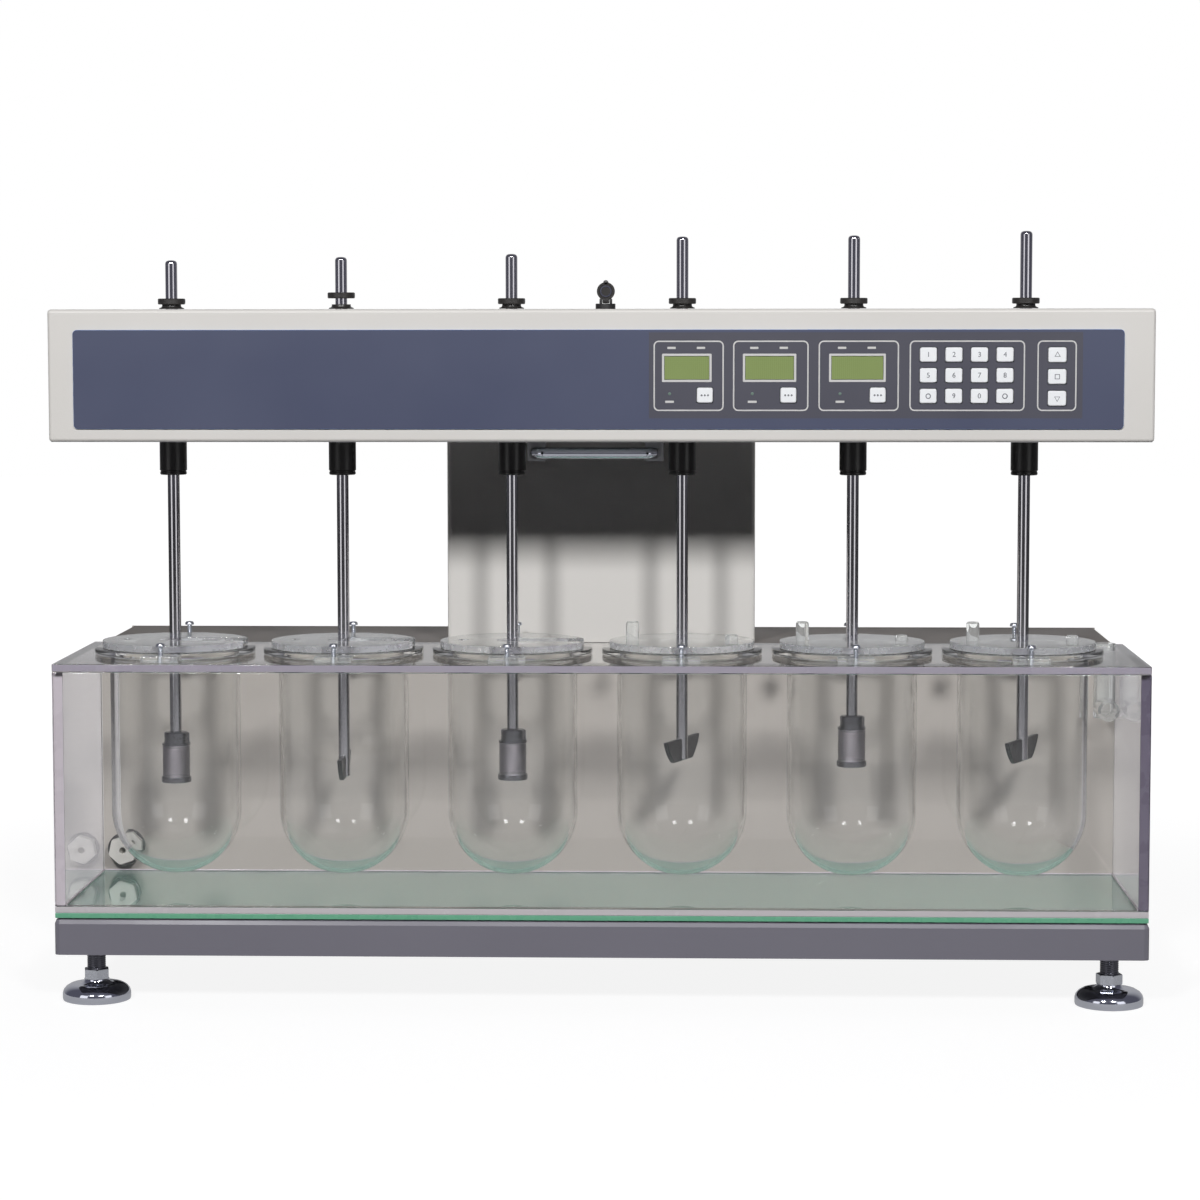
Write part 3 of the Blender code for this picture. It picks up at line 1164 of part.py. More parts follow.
# Vessel lids: the first ones slotted to one side, the others with two pegs in their ports
lid_radius = FLANGE_DIAMETER / 2 - LID_RIM_MARGIN
peg_radius = LID_PEG_DIAMETER / 2
for index in range(STATION_COUNT):
    lid_x = station_x(index)
    bm = bmesh.new()
    lid_bore = LID_BORE_DIAMETER / 2
    if index < SLOTTED_LID_COUNT:
        lid_bore = LID_SLOT_WIDTH / 2
    add_tube(bm, (lid_x, STATION_Y, 0), lid_radius, lid_bore, LID_BOTTOM, LID_TOP, LARGE_STEPS)
    lid = make_piece("lid_" + str(index + 1), bm, "acrylic", (lid_x, STATION_Y, LID_BOTTOM))
    cut_low = LID_BOTTOM - CUT_OVERRUN
    cut_high = LID_TOP + CUT_OVERRUN
    bm = bmesh.new()
    if index < SLOTTED_LID_COUNT:
        slot_half = LID_SLOT_WIDTH / 2
        slot_low = (lid_x, STATION_Y - slot_half, cut_low)
        slot_high = (lid_x + lid_radius + CUT_OVERRUN, STATION_Y + slot_half, cut_high)
        add_box(bm, slot_low, slot_high)
        port_place = (lid_x - LID_PORT_OFFSET, STATION_Y, 0)
        add_rod(bm, port_place, LID_PORT_DIAMETER / 2, cut_low, cut_high, SHAFT_STEPS)
        cut_piece(lid, bm)
    else:
        for side, rise in ((-1, LID_TALL_PEG_RISE), (1, LID_SHORT_PEG_RISE)):
            port_place = (lid_x + side * LID_PORT_OFFSET, STATION_Y, 0)
            peg_top = LID_TOP + rise
            peg_profile = [
                (0.0, LID_TOP - FIT_GAP),
                (peg_radius, LID_TOP - FIT_GAP),
                (peg_radius, peg_top - LID_PEG_CHAMFER),
                (peg_radius - LID_PEG_CHAMFER, peg_top),
                (0.0, peg_top),
            ]
            add_turned(bm, peg_profile, port_place, SHAFT_STEPS)
        cut_piece(lid, bm, "UNION")

# Drive motor on the base plate, between the middle stations
motor_x = STATION_SHIFT
motor_bottom = base_plate_top + FIT_GAP
motor_top = motor_bottom + MOTOR_HEIGHT
bm = bmesh.new()
half_motor = MOTOR_SIZE / 2
motor_low = (motor_x - half_motor, STATION_Y - half_motor, motor_bottom)
motor_high = (motor_x + half_motor, STATION_Y + half_motor, motor_top)
add_box(bm, motor_low, motor_high, MOTOR_SIZE / 12, 1, "upright")
drive_motor = make_piece("drive_motor", bm, "black_plastic", head_group.location, head_group)
bm = bmesh.new()
boss_top = motor_top + MOTOR_BOSS_HEIGHT
motor_shaft = MOTOR_SHAFT_DIAMETER / 2
shaft_end = PULLEY_TOP - PULLEY_FLANGE_HEIGHT
motor_profile = [
    (0.0, motor_top - MOTOR_BOSS_HEIGHT),
    (MOTOR_BOSS_DIAMETER / 2, motor_top - MOTOR_BOSS_HEIGHT),
    (MOTOR_BOSS_DIAMETER / 2, boss_top),
    (motor_shaft, boss_top),
    (motor_shaft, shaft_end),
    (0.0, shaft_end),
]
add_turned(bm, motor_profile, (motor_x, STATION_Y, 0), SHAFT_STEPS)
cut_piece(drive_motor, bm, "UNION")

# Motor pulley, in line with the spindle pulleys
bm = bmesh.new()
motor_bore = motor_shaft + FIT_GAP
motor_pulley_profile = [
    (motor_bore, PULLEY_BOTTOM),
    (pulley_flange, PULLEY_BOTTOM),
    (pulley_flange, PULLEY_BOTTOM + PULLEY_FLANGE_HEIGHT),
    (pulley_radius, PULLEY_BOTTOM + PULLEY_FLANGE_HEIGHT),
    (pulley_radius, PULLEY_TOP),
    (motor_bore, PULLEY_TOP),
]
add_turned(bm, motor_pulley_profile, (motor_x, STATION_Y, 0), SHAFT_STEPS, closed_loop=True)
make_piece("motor_pulley", bm, "steel", (motor_x, STATION_Y, PULLEY_BOTTOM), head_group)

# Drive belt round the row of pulleys
belt_inside = pulley_radius + FIT_GAP
belt_outside = belt_inside + BELT_THICKNESS
belt_bottom = PULLEY_BOTTOM + PULLEY_FLANGE_HEIGHT + BELT_MARGIN
belt_top = PULLEY_TOP - BELT_MARGIN


def stadium(radius):
    """Outline round the two end pulleys: its flats lie at the radius, so that the pulleys turn freely."""
    reach = radius / math.cos(math.pi / SHAFT_STEPS)
    points = []
    for end, turn in ((STATION_COUNT - 1, -math.pi / 2), (0, math.pi / 2)):
        for step in range(SHAFT_STEPS // 2):
            angle = turn + (2 * step + 1) * math.pi / SHAFT_STEPS
            points.append((station_x(end) + reach * math.cos(angle), STATION_Y + reach * math.sin(angle)))
    return points


bm = bmesh.new()
loops = []
for radius in (belt_inside, belt_outside):
    for level in (belt_bottom, belt_top):
        loops.append([bm.verts.new((x, y, level)) for x, y in stadium(radius)])
inside_low, inside_high, outside_low, outside_high = loops
count = len(inside_low)
for first in range(count):
    second = (first + 1) % count
    bm.faces.new((inside_low[first], inside_high[first], inside_high[second], inside_low[second]))
    bm.faces.new((outside_low[first], outside_low[second], outside_high[second], outside_high[first]))
    bm.faces.new((inside_low[first], inside_low[second], outside_low[second], outside_low[first]))
    bm.faces.new((inside_high[first], outside_high[first], outside_high[second], inside_high[second]))
make_piece("drive_belt", bm, "rubber", head_group.location, head_group)

# Places of the displays and keys on the panel: middle x, middle z, width and height
display_places = []
for centre_share, width_share in zip(DISPLAY_CENTRE_SHARES, DISPLAY_WIDTH_SHARES):
    display_x = PANEL_LEFT + PANEL_WIDTH * centre_share
    display_z = PANEL_BOTTOM + PANEL_HEIGHT * DISPLAY_LEVEL_SHARE
    display_places.append((display_x, display_z, PANEL_WIDTH * width_share, DISPLAY_HEIGHT))
key_places = {}
for index, share in enumerate(FUNCTION_KEY_SHARES):
    key_x = PANEL_LEFT + PANEL_WIDTH * share
    key_z = PANEL_BOTTOM + PANEL_HEIGHT * FUNCTION_KEY_LEVEL_SHARE
    key_places["key_function_" + str(index + 1)] = (key_x, key_z, FUNCTION_KEY_WIDTH, FUNCTION_KEY_HEIGHT)
for row, names in enumerate(DIGIT_ROWS):
    for column, key_name in enumerate(names):
        key_x = PANEL_LEFT + PANEL_WIDTH * DIGIT_LEFT_SHARE + column * DIGIT_PITCH
        key_z = PANEL_BOTTOM + PANEL_HEIGHT * DIGIT_LEVEL_SHARE - row * DIGIT_ROW_PITCH
        key_places["key_" + key_name] = (key_x, key_z, DIGIT_KEY_WIDTH, DIGIT_KEY_HEIGHT)
for row, key_name in enumerate(ARROW_NAMES):
    key_x = PANEL_LEFT + PANEL_WIDTH * ARROW_SHARE
    key_z = PANEL_BOTTOM + PANEL_HEIGHT * ARROW_LEVEL_SHARE - row * ARROW_ROW_PITCH
    key_places["key_" + key_name] = (key_x, key_z, ARROW_KEY_WIDTH, ARROW_KEY_HEIGHT)

# Control panel: a thin plate with a window for each display and a hole for each key
bm = bmesh.new()
panel_low = (PANEL_LEFT, PANEL_FRONT, PANEL_BOTTOM)
panel_high = (PANEL_LEFT + PANEL_WIDTH, PANEL_BACK, PANEL_BOTTOM + PANEL_HEIGHT)
add_box(bm, panel_low, panel_high, PANEL_CORNER_RADIUS, 3, "depth")
control_panel = make_piece("control_panel", bm, "slate_blue", head_group.location, head_group)
bm = bmesh.new()
openings = [place + (DISPLAY_CLEARANCE,) for place in display_places]
openings += [place + (KEY_CLEARANCE,) for place in key_places.values()]
for centre_x, centre_z, width, height, clearance in openings:
    half_opening = width / 2 + clearance
    half_rise = height / 2 + clearance
    add_box(
        bm, (centre_x - half_opening, PANEL_FRONT - CUT_OVERRUN, centre_z - half_rise),
        (centre_x + half_opening, PANEL_BACK + CUT_OVERRUN, centre_z + half_rise),
    )
cut_piece(control_panel, bm)

# Keys: rounded blocks that stand proud of the panel and press in
for key_name, (centre_x, centre_z, width, height) in key_places.items():
    bm = bmesh.new()
    key_low = (centre_x - width / 2, KEY_FRONT, centre_z - height / 2)
    key_high = (centre_x + width / 2, KEY_FRONT + KEY_LENGTH, centre_z + height / 2)
    add_box(bm, key_low, key_high, KEY_EDGE_RADIUS, 1, "front")
    make_piece(key_name, bm, "white_plastic", (centre_x, KEY_FRONT, centre_z), head_group)

# Display board: one circuit board behind the keys, with a display module standing in each window
bm = bmesh.new()
board_back = BOARD_FRONT + BOARD_THICKNESS
board_low = (control_left - BOARD_MARGIN, BOARD_FRONT, control_foot - BOARD_MARGIN)
board_high = (control_right + BOARD_MARGIN, board_back, control_top + BOARD_MARGIN)
add_box(bm, board_low, board_high)
display_board = make_piece("display_board", bm, "display_green", head_group.location, head_group)
bm = bmesh.new()
for centre_x, centre_z, width, height in display_places:
    module_low = (centre_x - width / 2, PANEL_FRONT + DISPLAY_RECESS, centre_z - height / 2)
    module_high = (centre_x + width / 2, BOARD_FRONT + BOARD_THICKNESS / 2, centre_z + height / 2)
    add_box(bm, module_low, module_high)
cut_piece(display_board, bm, "UNION")
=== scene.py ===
# %% [markdown]
# A dissolution tester on a bench. Six round-bottomed glasses hang in a clear water tank, and a head
# on a column turns a steel shaft in each of them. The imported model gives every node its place, so
# it is loaded first, and each finer piece made below sits where its node is and rides on its body.
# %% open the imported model
import json
from math import atan2, cos, pi, radians, sin

import bmesh
import bpy
from mathutils import Matrix, Vector

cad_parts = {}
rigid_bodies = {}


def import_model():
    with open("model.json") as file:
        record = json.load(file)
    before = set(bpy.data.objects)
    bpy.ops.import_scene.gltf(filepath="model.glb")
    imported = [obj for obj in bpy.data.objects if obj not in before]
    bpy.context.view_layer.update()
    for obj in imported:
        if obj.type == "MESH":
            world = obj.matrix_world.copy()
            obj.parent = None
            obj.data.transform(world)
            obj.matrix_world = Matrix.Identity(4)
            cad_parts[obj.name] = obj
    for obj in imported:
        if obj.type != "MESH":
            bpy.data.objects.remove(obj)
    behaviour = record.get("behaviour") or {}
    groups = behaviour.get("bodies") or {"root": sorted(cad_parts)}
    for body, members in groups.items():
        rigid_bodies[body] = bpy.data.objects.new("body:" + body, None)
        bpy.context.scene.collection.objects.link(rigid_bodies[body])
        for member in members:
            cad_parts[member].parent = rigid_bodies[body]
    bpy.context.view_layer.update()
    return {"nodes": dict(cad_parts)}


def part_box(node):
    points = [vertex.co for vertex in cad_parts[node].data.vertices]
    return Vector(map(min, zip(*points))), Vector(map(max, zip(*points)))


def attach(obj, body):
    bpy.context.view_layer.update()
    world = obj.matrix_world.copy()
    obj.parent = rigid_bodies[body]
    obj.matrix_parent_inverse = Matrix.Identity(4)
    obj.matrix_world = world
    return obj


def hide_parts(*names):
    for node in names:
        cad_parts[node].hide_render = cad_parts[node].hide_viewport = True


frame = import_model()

# %% [markdown]
# The photograph was taken from the front, a little above the tank and from about three metres, so
# the two ends of the instrument hardly converge. A long lens at that distance gives the same view.
# The camera is made from its place, its tilt and its turn, with no shift and no blur. It
# leans a very little, because the lines in the photograph do.
# %% camera
scene = bpy.context.scene
camera_data = bpy.data.cameras.new("bench_camera")
camera_data.lens = 99.66
camera_data.sensor_width = 36
camera = bpy.data.objects.new("bench_camera", camera_data)
scene.collection.objects.link(camera)
camera.location = (0.090, -2.886, 0.571)
camera.rotation_euler = (radians(90 - 4.85), radians(0.05), radians(1.875))
scene.camera = camera
scene.view_settings.view_transform = "Standard"
print("camera at", tuple(round(v, 3) for v in camera.location))

# %% [markdown]
# Two soft boxes stand left and right of the camera, above its height. Each polished rod shows
# them as two bright lines, and the head throws its shadow on the column below it. They are kept
# small, because the shadows in the photograph have fairly crisp edges. Three large, weak boxes
# light the back and the two ends, and neither mirrors nor glass see them. Two reflector panels
# stand further out and give matt surfaces nothing: each upright rod shows them as two pale lines
# with a dark line between.
# %% soft boxes
aim = Vector((0, 0, 0.35))


def soft_box(name, azimuth, elevation, distance, size, power):
    side, up = radians(azimuth), radians(elevation)
    away = Vector((sin(side) * cos(up), -cos(side) * cos(up), sin(up)))
    data = bpy.data.lights.new(name, "AREA")
    data.shape = "SQUARE"
    data.size = size
    data.energy = power
    lamp = bpy.data.objects.new(name, data)
    scene.collection.objects.link(lamp)
    lamp.location = aim + away * distance
    lamp.rotation_euler = away.to_track_quat("Z", "Y").to_euler()
    return lamp


for name, azimuth in (("left_box", -17), ("right_box", 17)):
    soft_box(name, azimuth, 27.5, 3.4, 0.42, 49.5)
for name, azimuth, elevation, power in (("back_box", 180, 12, 26), ("left_end_box", -104, 8, 16),
                                        ("right_end_box", 104, 8, 16)):
    weak = soft_box(name, azimuth, elevation, 3.0, 1.6, power)
    weak.visible_glossy = weak.visible_transmission = weak.visible_camera = False
for name, azimuth in (("left_panel", -41), ("right_panel", 41)):
    panel_lamp = soft_box(name, azimuth, 7, 2.6, 1.1, 4.6)
    panel_lamp.data.shape = "RECTANGLE"
    panel_lamp.data.size_y = 1.3
    panel_lamp.visible_diffuse = False

# %% [markdown]
# The world and every material are built from nodes. Most nodes need the same few lines, so one
# helper makes a node, sets its properties and gives each input a value or another node's output.
# A second one is for sums.
# %% helpers for nodes
def add(tree, kind, inputs=None, **settings):
    node = tree.nodes.new("ShaderNode" + kind)
    for label, value in settings.items():
        setattr(node, label, value)
    for label, given in (inputs or {}).items():
        if isinstance(given, bpy.types.NodeSocket):
            tree.links.new(given, node.inputs[label])
        else:
            node.inputs[label].default_value = given
    return node


def maths(tree, operation, *given):
    """A Math node on numbers or outputs."""
    return add(tree, "Math", dict(enumerate(given)), operation=operation).outputs[0]


print("node helpers ready")

# %% [markdown]
# The backdrop is white, but a polished rod in a studio also shows the darker room behind the
# camera. The world therefore answers by the kind of ray: camera rays and rays through glass see
# plain white, mirror rays see pale grey behind the object and a dim room in front of it, and
# diffuse rays get a low, even fill. A ray that leaves a matt or shiny surface and then goes out
# through the glass still counts as what it was, or the backdrop would light the tank's inside.
# %% world
def ray_kinds(tree, *kinds):
    """The largest of some Light Path outputs."""
    path = add(tree, "LightPath")
    value = path.outputs[kinds[0]]
    for kind in kinds[1:]:
        value = maths(tree, "MAXIMUM", value, path.outputs[kind])
    return value


def bounced(tree, depth, yes=True):
    """1 once a path has bounced off that kind of surface, or 1 while it hasn't yet."""
    count = add(tree, "LightPath").outputs[depth]
    return maths(tree, "GREATER_THAN" if yes else "LESS_THAN", count, 0.5)


def first_sight(tree):
    """Camera rays and rays through glass that have met nothing matt or shiny."""
    value = ray_kinds(tree, "Is Camera Ray", "Is Transmission Ray")
    for depth in ("Diffuse Depth", "Glossy Depth"):
        value = maths(tree, "MULTIPLY", value, bounced(tree, depth, False))
    return value


world = bpy.data.worlds.new("studio")
scene.world = world
world.use_nodes = True
sky = world.node_tree
sky.nodes.clear()
fill = add(sky, "Background", {"Color": (0.94, 0.96, 1.0, 1), "Strength": 0.012})
white = add(sky, "Background", {"Color": (1, 1, 1, 1)})
axes = add(sky, "SeparateXYZ", {0: add(sky, "TexCoord").outputs["Generated"]})
behind = add(sky, "MapRange", {"Value": axes.outputs["Y"], "From Min": 0.30, "From Max": 0.92},
             interpolation_type="SMOOTHSTEP")
shade = add(sky, "Mix", {"Factor": behind.outputs["Result"], "A": (0.10, 0.10, 0.125, 1),
                         "B": (0.40, 0.40, 0.41, 1)}, data_type="RGBA")
room = add(sky, "Background", {"Color": shade.outputs["Result"]})
shiny = maths(sky, "MAXIMUM", ray_kinds(sky, "Is Glossy Ray"), bounced(sky, "Glossy Depth"))
shiny = maths(sky, "MULTIPLY", shiny, bounced(sky, "Diffuse Depth", False))
mirrored = add(sky, "MixShader", {0: shiny, 1: fill.outputs[0], 2: room.outputs[0]})
seen = add(sky, "MixShader", {0: first_sight(sky), 1: mirrored.outputs[0], 2: white.outputs[0]})
add(sky, "OutputWorld", {"Surface": seen.outputs[0]})
print("world", world.name)

# %% [markdown]
# Every finish varies a little over a surface, as real paint, plastic and metal do. Three effects
# are shared by nearly all of them, so each is a node group made once: a tint that is uneven, a
# gloss that is patchy, and a fine relief for a bump. They read object coordinates, and every
# finished piece keeps its place in its mesh, so the pattern stays put when a piece moves.
# %% shared effects
def new_group(name, inputs, outputs):
    group = bpy.data.node_groups.new(name, "ShaderNodeTree")
    for label, kind, value in inputs:
        made = group.interface.new_socket(label, in_out="INPUT", socket_type="NodeSocket" + kind)
        made.default_value = value
    for label, kind in outputs:
        group.interface.new_socket(label, in_out="OUTPUT", socket_type="NodeSocket" + kind)
    start = group.nodes.new("NodeGroupInput")
    end = group.nodes.new("NodeGroupOutput")
    return group, start, end


def noise_in(group, start, detail):
    """A noise texture on the group's stretched vector and its scale."""
    stretched = add(group, "VectorMath", {0: start.outputs["Vector"], 1: start.outputs["Stretch"]},
                    operation="MULTIPLY")
    return add(group, "TexNoise", {"Detail": detail, "Vector": stretched.outputs[0],
                                   "Scale": start.outputs["Scale"]}).outputs["Fac"]


place_inputs = [("Vector", "Vector", (0, 0, 0)), ("Stretch", "Vector", (1, 1, 1)),
                ("Scale", "Float", 20)]

uneven_tint, start, end = new_group(
    "uneven_tint", place_inputs + [("Tint", "Color", (1, 1, 1, 1)), ("Depth", "Float", 0.03)],
    [("Color", "Color")])
centred = maths(uneven_tint, "SUBTRACT", noise_in(uneven_tint, start, 4), 0.5)
spread = maths(uneven_tint, "MULTIPLY_ADD", centred, start.outputs["Depth"], 1)
tinted = add(uneven_tint, "VectorMath", {0: start.outputs["Tint"], "Scale": spread},
             operation="SCALE")
uneven_tint.links.new(tinted.outputs[0], end.inputs["Color"])

patchy_gloss, start, end = new_group(
    "patchy_gloss", place_inputs + [("Shiny", "Float", 0.3), ("Dull", "Float", 0.4)],
    [("Roughness", "Float")])
patch = add(patchy_gloss, "MapRange", {
    "Value": noise_in(patchy_gloss, start, 5), "From Min": 0.3, "From Max": 0.7,
    "To Min": start.outputs["Shiny"], "To Max": start.outputs["Dull"]})
patchy_gloss.links.new(patch.outputs["Result"], end.inputs["Roughness"])

fine_relief, start, end = new_group("fine_relief", place_inputs, [("Height", "Float")])
fine_relief.links.new(noise_in(fine_relief, start, 2), end.inputs["Height"])
print("groups", [g.name for g in bpy.data.node_groups])

# %% [markdown]
# Most surfaces differ only in tint, gloss, metal and relief, so one helper lays out the nodes and
# each finish gives its numbers. Colours are written as a paint chart gives them, from 0 to 255,
# and turned into the linear values that the shader wants. Anything that is the same all over is
# typed on the shader itself.
# %% a helper for solid finishes
def chart(red, green, blue):
    """Linear values of a colour of the chart; all of ours are well above its dark, straight end."""
    return tuple(((value / 255 + 0.055) / 1.055) ** 2.4 for value in (red, green, blue))


def effect(tree, group, vector, **values):
    return add(tree, "Group", {"Vector": vector, **values}, node_tree=group).outputs[0]


def new_material(name, plain, tint, depth, cloud, shiny, dull, patches, grain, relief,
                 stretch=(1, 1, 1), strength=1):
    """The shader with its plain values, and the three shared effects that feed it."""
    material = bpy.data.materials.new(name)
    material.use_nodes = True
    tree = material.node_tree
    shader = tree.nodes["Principled BSDF"]
    for label, value in plain.items():
        shader.inputs[label].default_value = value
    place = add(tree, "TexCoord").outputs["Object"]
    colour = effect(tree, uneven_tint, place, Scale=cloud, Tint=(*tint, 1), Depth=depth)
    gloss = effect(tree, patchy_gloss, place, Stretch=stretch, Scale=patches, Shiny=shiny, Dull=dull)
    height = effect(tree, fine_relief, place, Stretch=stretch, Scale=grain)
    bump = add(tree, "Bump", {"Distance": relief, "Strength": strength, "Height": height})
    for source, label in ((colour, "Base Color"), (gloss, "Roughness"), (bump.outputs[0], "Normal")):
        tree.links.new(source, shader.inputs[label])
    return material


def new_finish(name, tint, depth=0.04, cloud=14, shiny=0.35, dull=0.5, patches=9, grain=900,
               relief=0.00002, stretch=(1, 1, 1), metallic=0, specular=0.5):
    return new_material(name, {"Metallic": metallic, "Specular IOR Level": specular}, tint, depth,
                        cloud, shiny, dull, patches, grain, relief, stretch)


cover_paint = new_finish("cover_paint", chart(226, 223, 219), depth=0.05, shiny=0.34, dull=0.46,
                         grain=700, relief=0.00004)
column_paint = new_finish("column_paint", chart(231, 228, 224), depth=0.05, shiny=0.44, dull=0.56,
                          grain=700, relief=0.00004, specular=0.2)
housing_tint = chart(205, 199, 191)
housing_paint = new_finish("housing_paint", housing_tint, depth=0.10, cloud=8, shiny=0.42,
                           dull=0.55, grain=700, relief=0.00005, specular=0.05)
base_paint = new_finish("base_paint", chart(122, 120, 131), depth=0.06, cloud=20, shiny=0.36,
                        dull=0.48, grain=800, relief=0.00005)
print("housing paint", tuple(round(value, 3) for value in housing_tint))

# %% [markdown]
# The rods and the base's feet are metal. Ground steel has very fine lines along the rod, which
# spread a highlight a little, and chrome is smoother and slightly blue. Black nylon and acetal
# parts are moulded or turned, so they get a fine all-over relief.
# %% metal and plastic finishes
ground_steel = new_finish("ground_steel", (0.60, 0.59, 0.62), depth=0.10, cloud=30, shiny=0.07,
                          dull=0.13, patches=40, stretch=(1, 1, 0.06), grain=1500, relief=0.000004,
                          metallic=1)
blade_steel = new_finish("blade_steel", (0.30, 0.30, 0.31), depth=0.25, cloud=60, shiny=0.26,
                         dull=0.42, patches=90, grain=1200, relief=0.00001, metallic=1)
paddle_steel = new_finish("paddle_steel", (0.035, 0.035, 0.037), depth=0.25, cloud=60, shiny=0.3,
                          dull=0.44, patches=90, grain=1200, relief=0.00001, metallic=1)
basket_steel = new_finish("basket_steel", (0.20, 0.20, 0.22), depth=0.15, cloud=60, shiny=0.08,
                          dull=0.18, patches=90, grain=1200, relief=0.000005, metallic=1)
chrome = new_finish("chrome", (0.70, 0.72, 0.80), depth=0.08, cloud=50, shiny=0.05, dull=0.14,
                    patches=60, grain=220, relief=0.000012, metallic=1)
zinc = new_finish("zinc", (0.66, 0.68, 0.74), depth=0.16, cloud=150, shiny=0.2, dull=0.34,
                  patches=120, grain=900, relief=0.00001, metallic=1)
thread_steel = new_finish("thread_steel", (0.12, 0.12, 0.14), depth=0.2, cloud=80, shiny=0.22,
                          dull=0.36, patches=100, grain=900, relief=0.00001, metallic=1)
black_nylon = new_finish("black_nylon", chart(46, 44, 43), depth=0.2, cloud=40, shiny=0.28,
                         dull=0.40, patches=50, grain=1000, relief=0.00001, stretch=(1, 1, 0.3))
matt_black = new_finish("matt_black", chart(34, 33, 34), depth=0.2, cloud=50, shiny=0.4, dull=0.55,
                        patches=60, grain=1400, relief=0.00003)
white_nylon = new_finish("white_nylon", chart(228, 226, 220), depth=0.05, cloud=60, shiny=0.32,
                         dull=0.45, patches=60, grain=900, relief=0.00001)
sheet_metal = new_finish("sheet_metal", (0.36, 0.36, 0.37), depth=0.12, cloud=10, shiny=0.3,
                         dull=0.45, patches=18, stretch=(0.12, 1, 1), grain=900, relief=0.00001,
                         metallic=1)
belt_rubber = new_finish("belt_rubber", chart(30, 30, 31), depth=0.2, cloud=70, shiny=0.55,
                         dull=0.7, grain=900, relief=0.00004)
print("finishes", len(bpy.data.materials))

# %% [markdown]
# Clear acrylic and the blown vessels are glass to the shader: full transmission, a real index of
# refraction and almost no roughness. A lamp's light should still pass them, or the tank would be
# black inside, so shadow rays and diffuse rays see a plain transparent surface instead of glass.
# %% a helper for clear finishes
def new_clear(name, tint, ior, shiny=0.0, dull=0.02, depth=0.01, waves=6, relief=0.0,
              let_through=1.0, clearness=1.0):
    material = new_material(name, {"Transmission Weight": clearness, "IOR": ior}, tint, depth,
                            waves, shiny, dull, waves * 5, waves * 2, relief, strength=0.6)
    tree = material.node_tree
    passing = add(tree, "BsdfTransparent", {"Color": (let_through, let_through, let_through, 1)})
    choice = add(tree, "MixShader", {0: ray_kinds(tree, "Is Shadow Ray", "Is Diffuse Ray"),
                                     1: tree.nodes["Principled BSDF"].outputs[0], 2: passing.outputs[0]})
    tree.links.new(choice.outputs[0], tree.nodes["Material Output"].inputs["Surface"])
    return material


acrylic = new_clear("acrylic", (0.985, 0.984, 0.992), 1.49, dull=0.012, waves=5)
lid_acrylic = new_clear("lid_acrylic", (0.97, 0.985, 0.975), 1.49, dull=0.02, waves=20,
                        clearness=0.85)
vessel_glass = new_clear("vessel_glass", (0.992, 0.997, 0.994), 1.45, dull=0.008, waves=14,
                         relief=0.0002)
float_glass = new_clear("float_glass", (0.56, 0.83, 0.74), 1.52, dull=0.01, waves=4,
                        let_through=0.8, clearness=0.15)
floor_acrylic = new_clear("floor_acrylic", (0.88, 0.96, 0.92), 1.49, dull=0.012, waves=4)
end_acrylic = new_clear("end_acrylic", (0.76, 0.74, 0.76), 1.49, dull=0.012, waves=5)
cut_acrylic = new_clear("cut_acrylic", (0.90, 0.90, 0.94), 1.49, shiny=0.18, dull=0.4, depth=0.08,
                        waves=30)
print("clear finishes made")

# %% [markdown]
# A bmesh is easiest to read when it comes from a few plain moves: a block between two corners, an
# outline spun round an axis, sharp edges rounded, one solid cut from another. These four cover
# almost every part of a machine like this one. Cylinders and tubes are so common that they have
# short names of their own.
# %% block, lathe and round
def block(low, high):
    bm = bmesh.new()
    bmesh.ops.create_cube(bm, size=1)
    low, high = Vector(low), Vector(high)
    bmesh.ops.scale(bm, vec=high - low, verts=bm.verts)
    bmesh.ops.translate(bm, vec=(low + high) / 2, verts=bm.verts)
    return bm


def round_edges(bm, radius, segments=3, along=None, sharper=30, pick=None):
    """Rounds the sharp edges, or only those along one axis or those that pick() names."""
    chosen = []
    for edge in bm.edges:
        if len(edge.link_faces) != 2 or edge.calc_face_angle(0) < radians(sharper):
            continue
        run = edge.verts[1].co - edge.verts[0].co
        if along is not None and abs(run["XYZ".index(along)]) < 0.99 * run.length:
            continue
        if pick is None or pick((edge.verts[0].co + edge.verts[1].co) / 2):
            chosen.append(edge)
    bmesh.ops.bevel(bm, geom=chosen, offset=radius, offset_type="OFFSET", segments=segments,
                    profile=0.5, affect="EDGES", material=-1, clamp_overlap=True)
    return bm


def lathe(outline, steps=64, closed=False):
    """Spins (radius, height) points round the Z axis."""
    bm = bmesh.new()
    points = [bm.verts.new((radius, 0, height)) for radius, height in outline]
    lines = [bm.edges.new(pair) for pair in zip(points, points[1:])]
    if closed:
        lines.append(bm.edges.new((points[-1], points[0])))
    bmesh.ops.spin(bm, geom=points + lines, cent=(0, 0, 0), axis=(0, 0, 1), angle=2 * pi,
                   steps=steps, use_merge=True)
    bmesh.ops.remove_doubles(bm, verts=bm.verts, dist=1e-6)
    bmesh.ops.recalc_face_normals(bm, faces=bm.faces)
    return bm


def plug(radius, low, high, steps):
    """A plain cylinder between two levels."""
    return lathe([(0, low), (radius, low), (radius, high), (0, high)], steps)


def sleeve(inner, outer, low, high, steps):
    """A plain tube between two levels."""
    return lathe([(inner, low), (outer, low), (outer, high), (inner, high)], steps, closed=True)


def shift(bm, x, y, z):
    bmesh.ops.translate(bm, vec=(x, y, z), verts=bm.verts)
    return bm


def turn(bm, degrees, axis):
    bmesh.ops.rotate(bm, cent=(0, 0, 0), matrix=Matrix.Rotation(radians(degrees), 3, axis),
                     verts=bm.verts)
    return bm


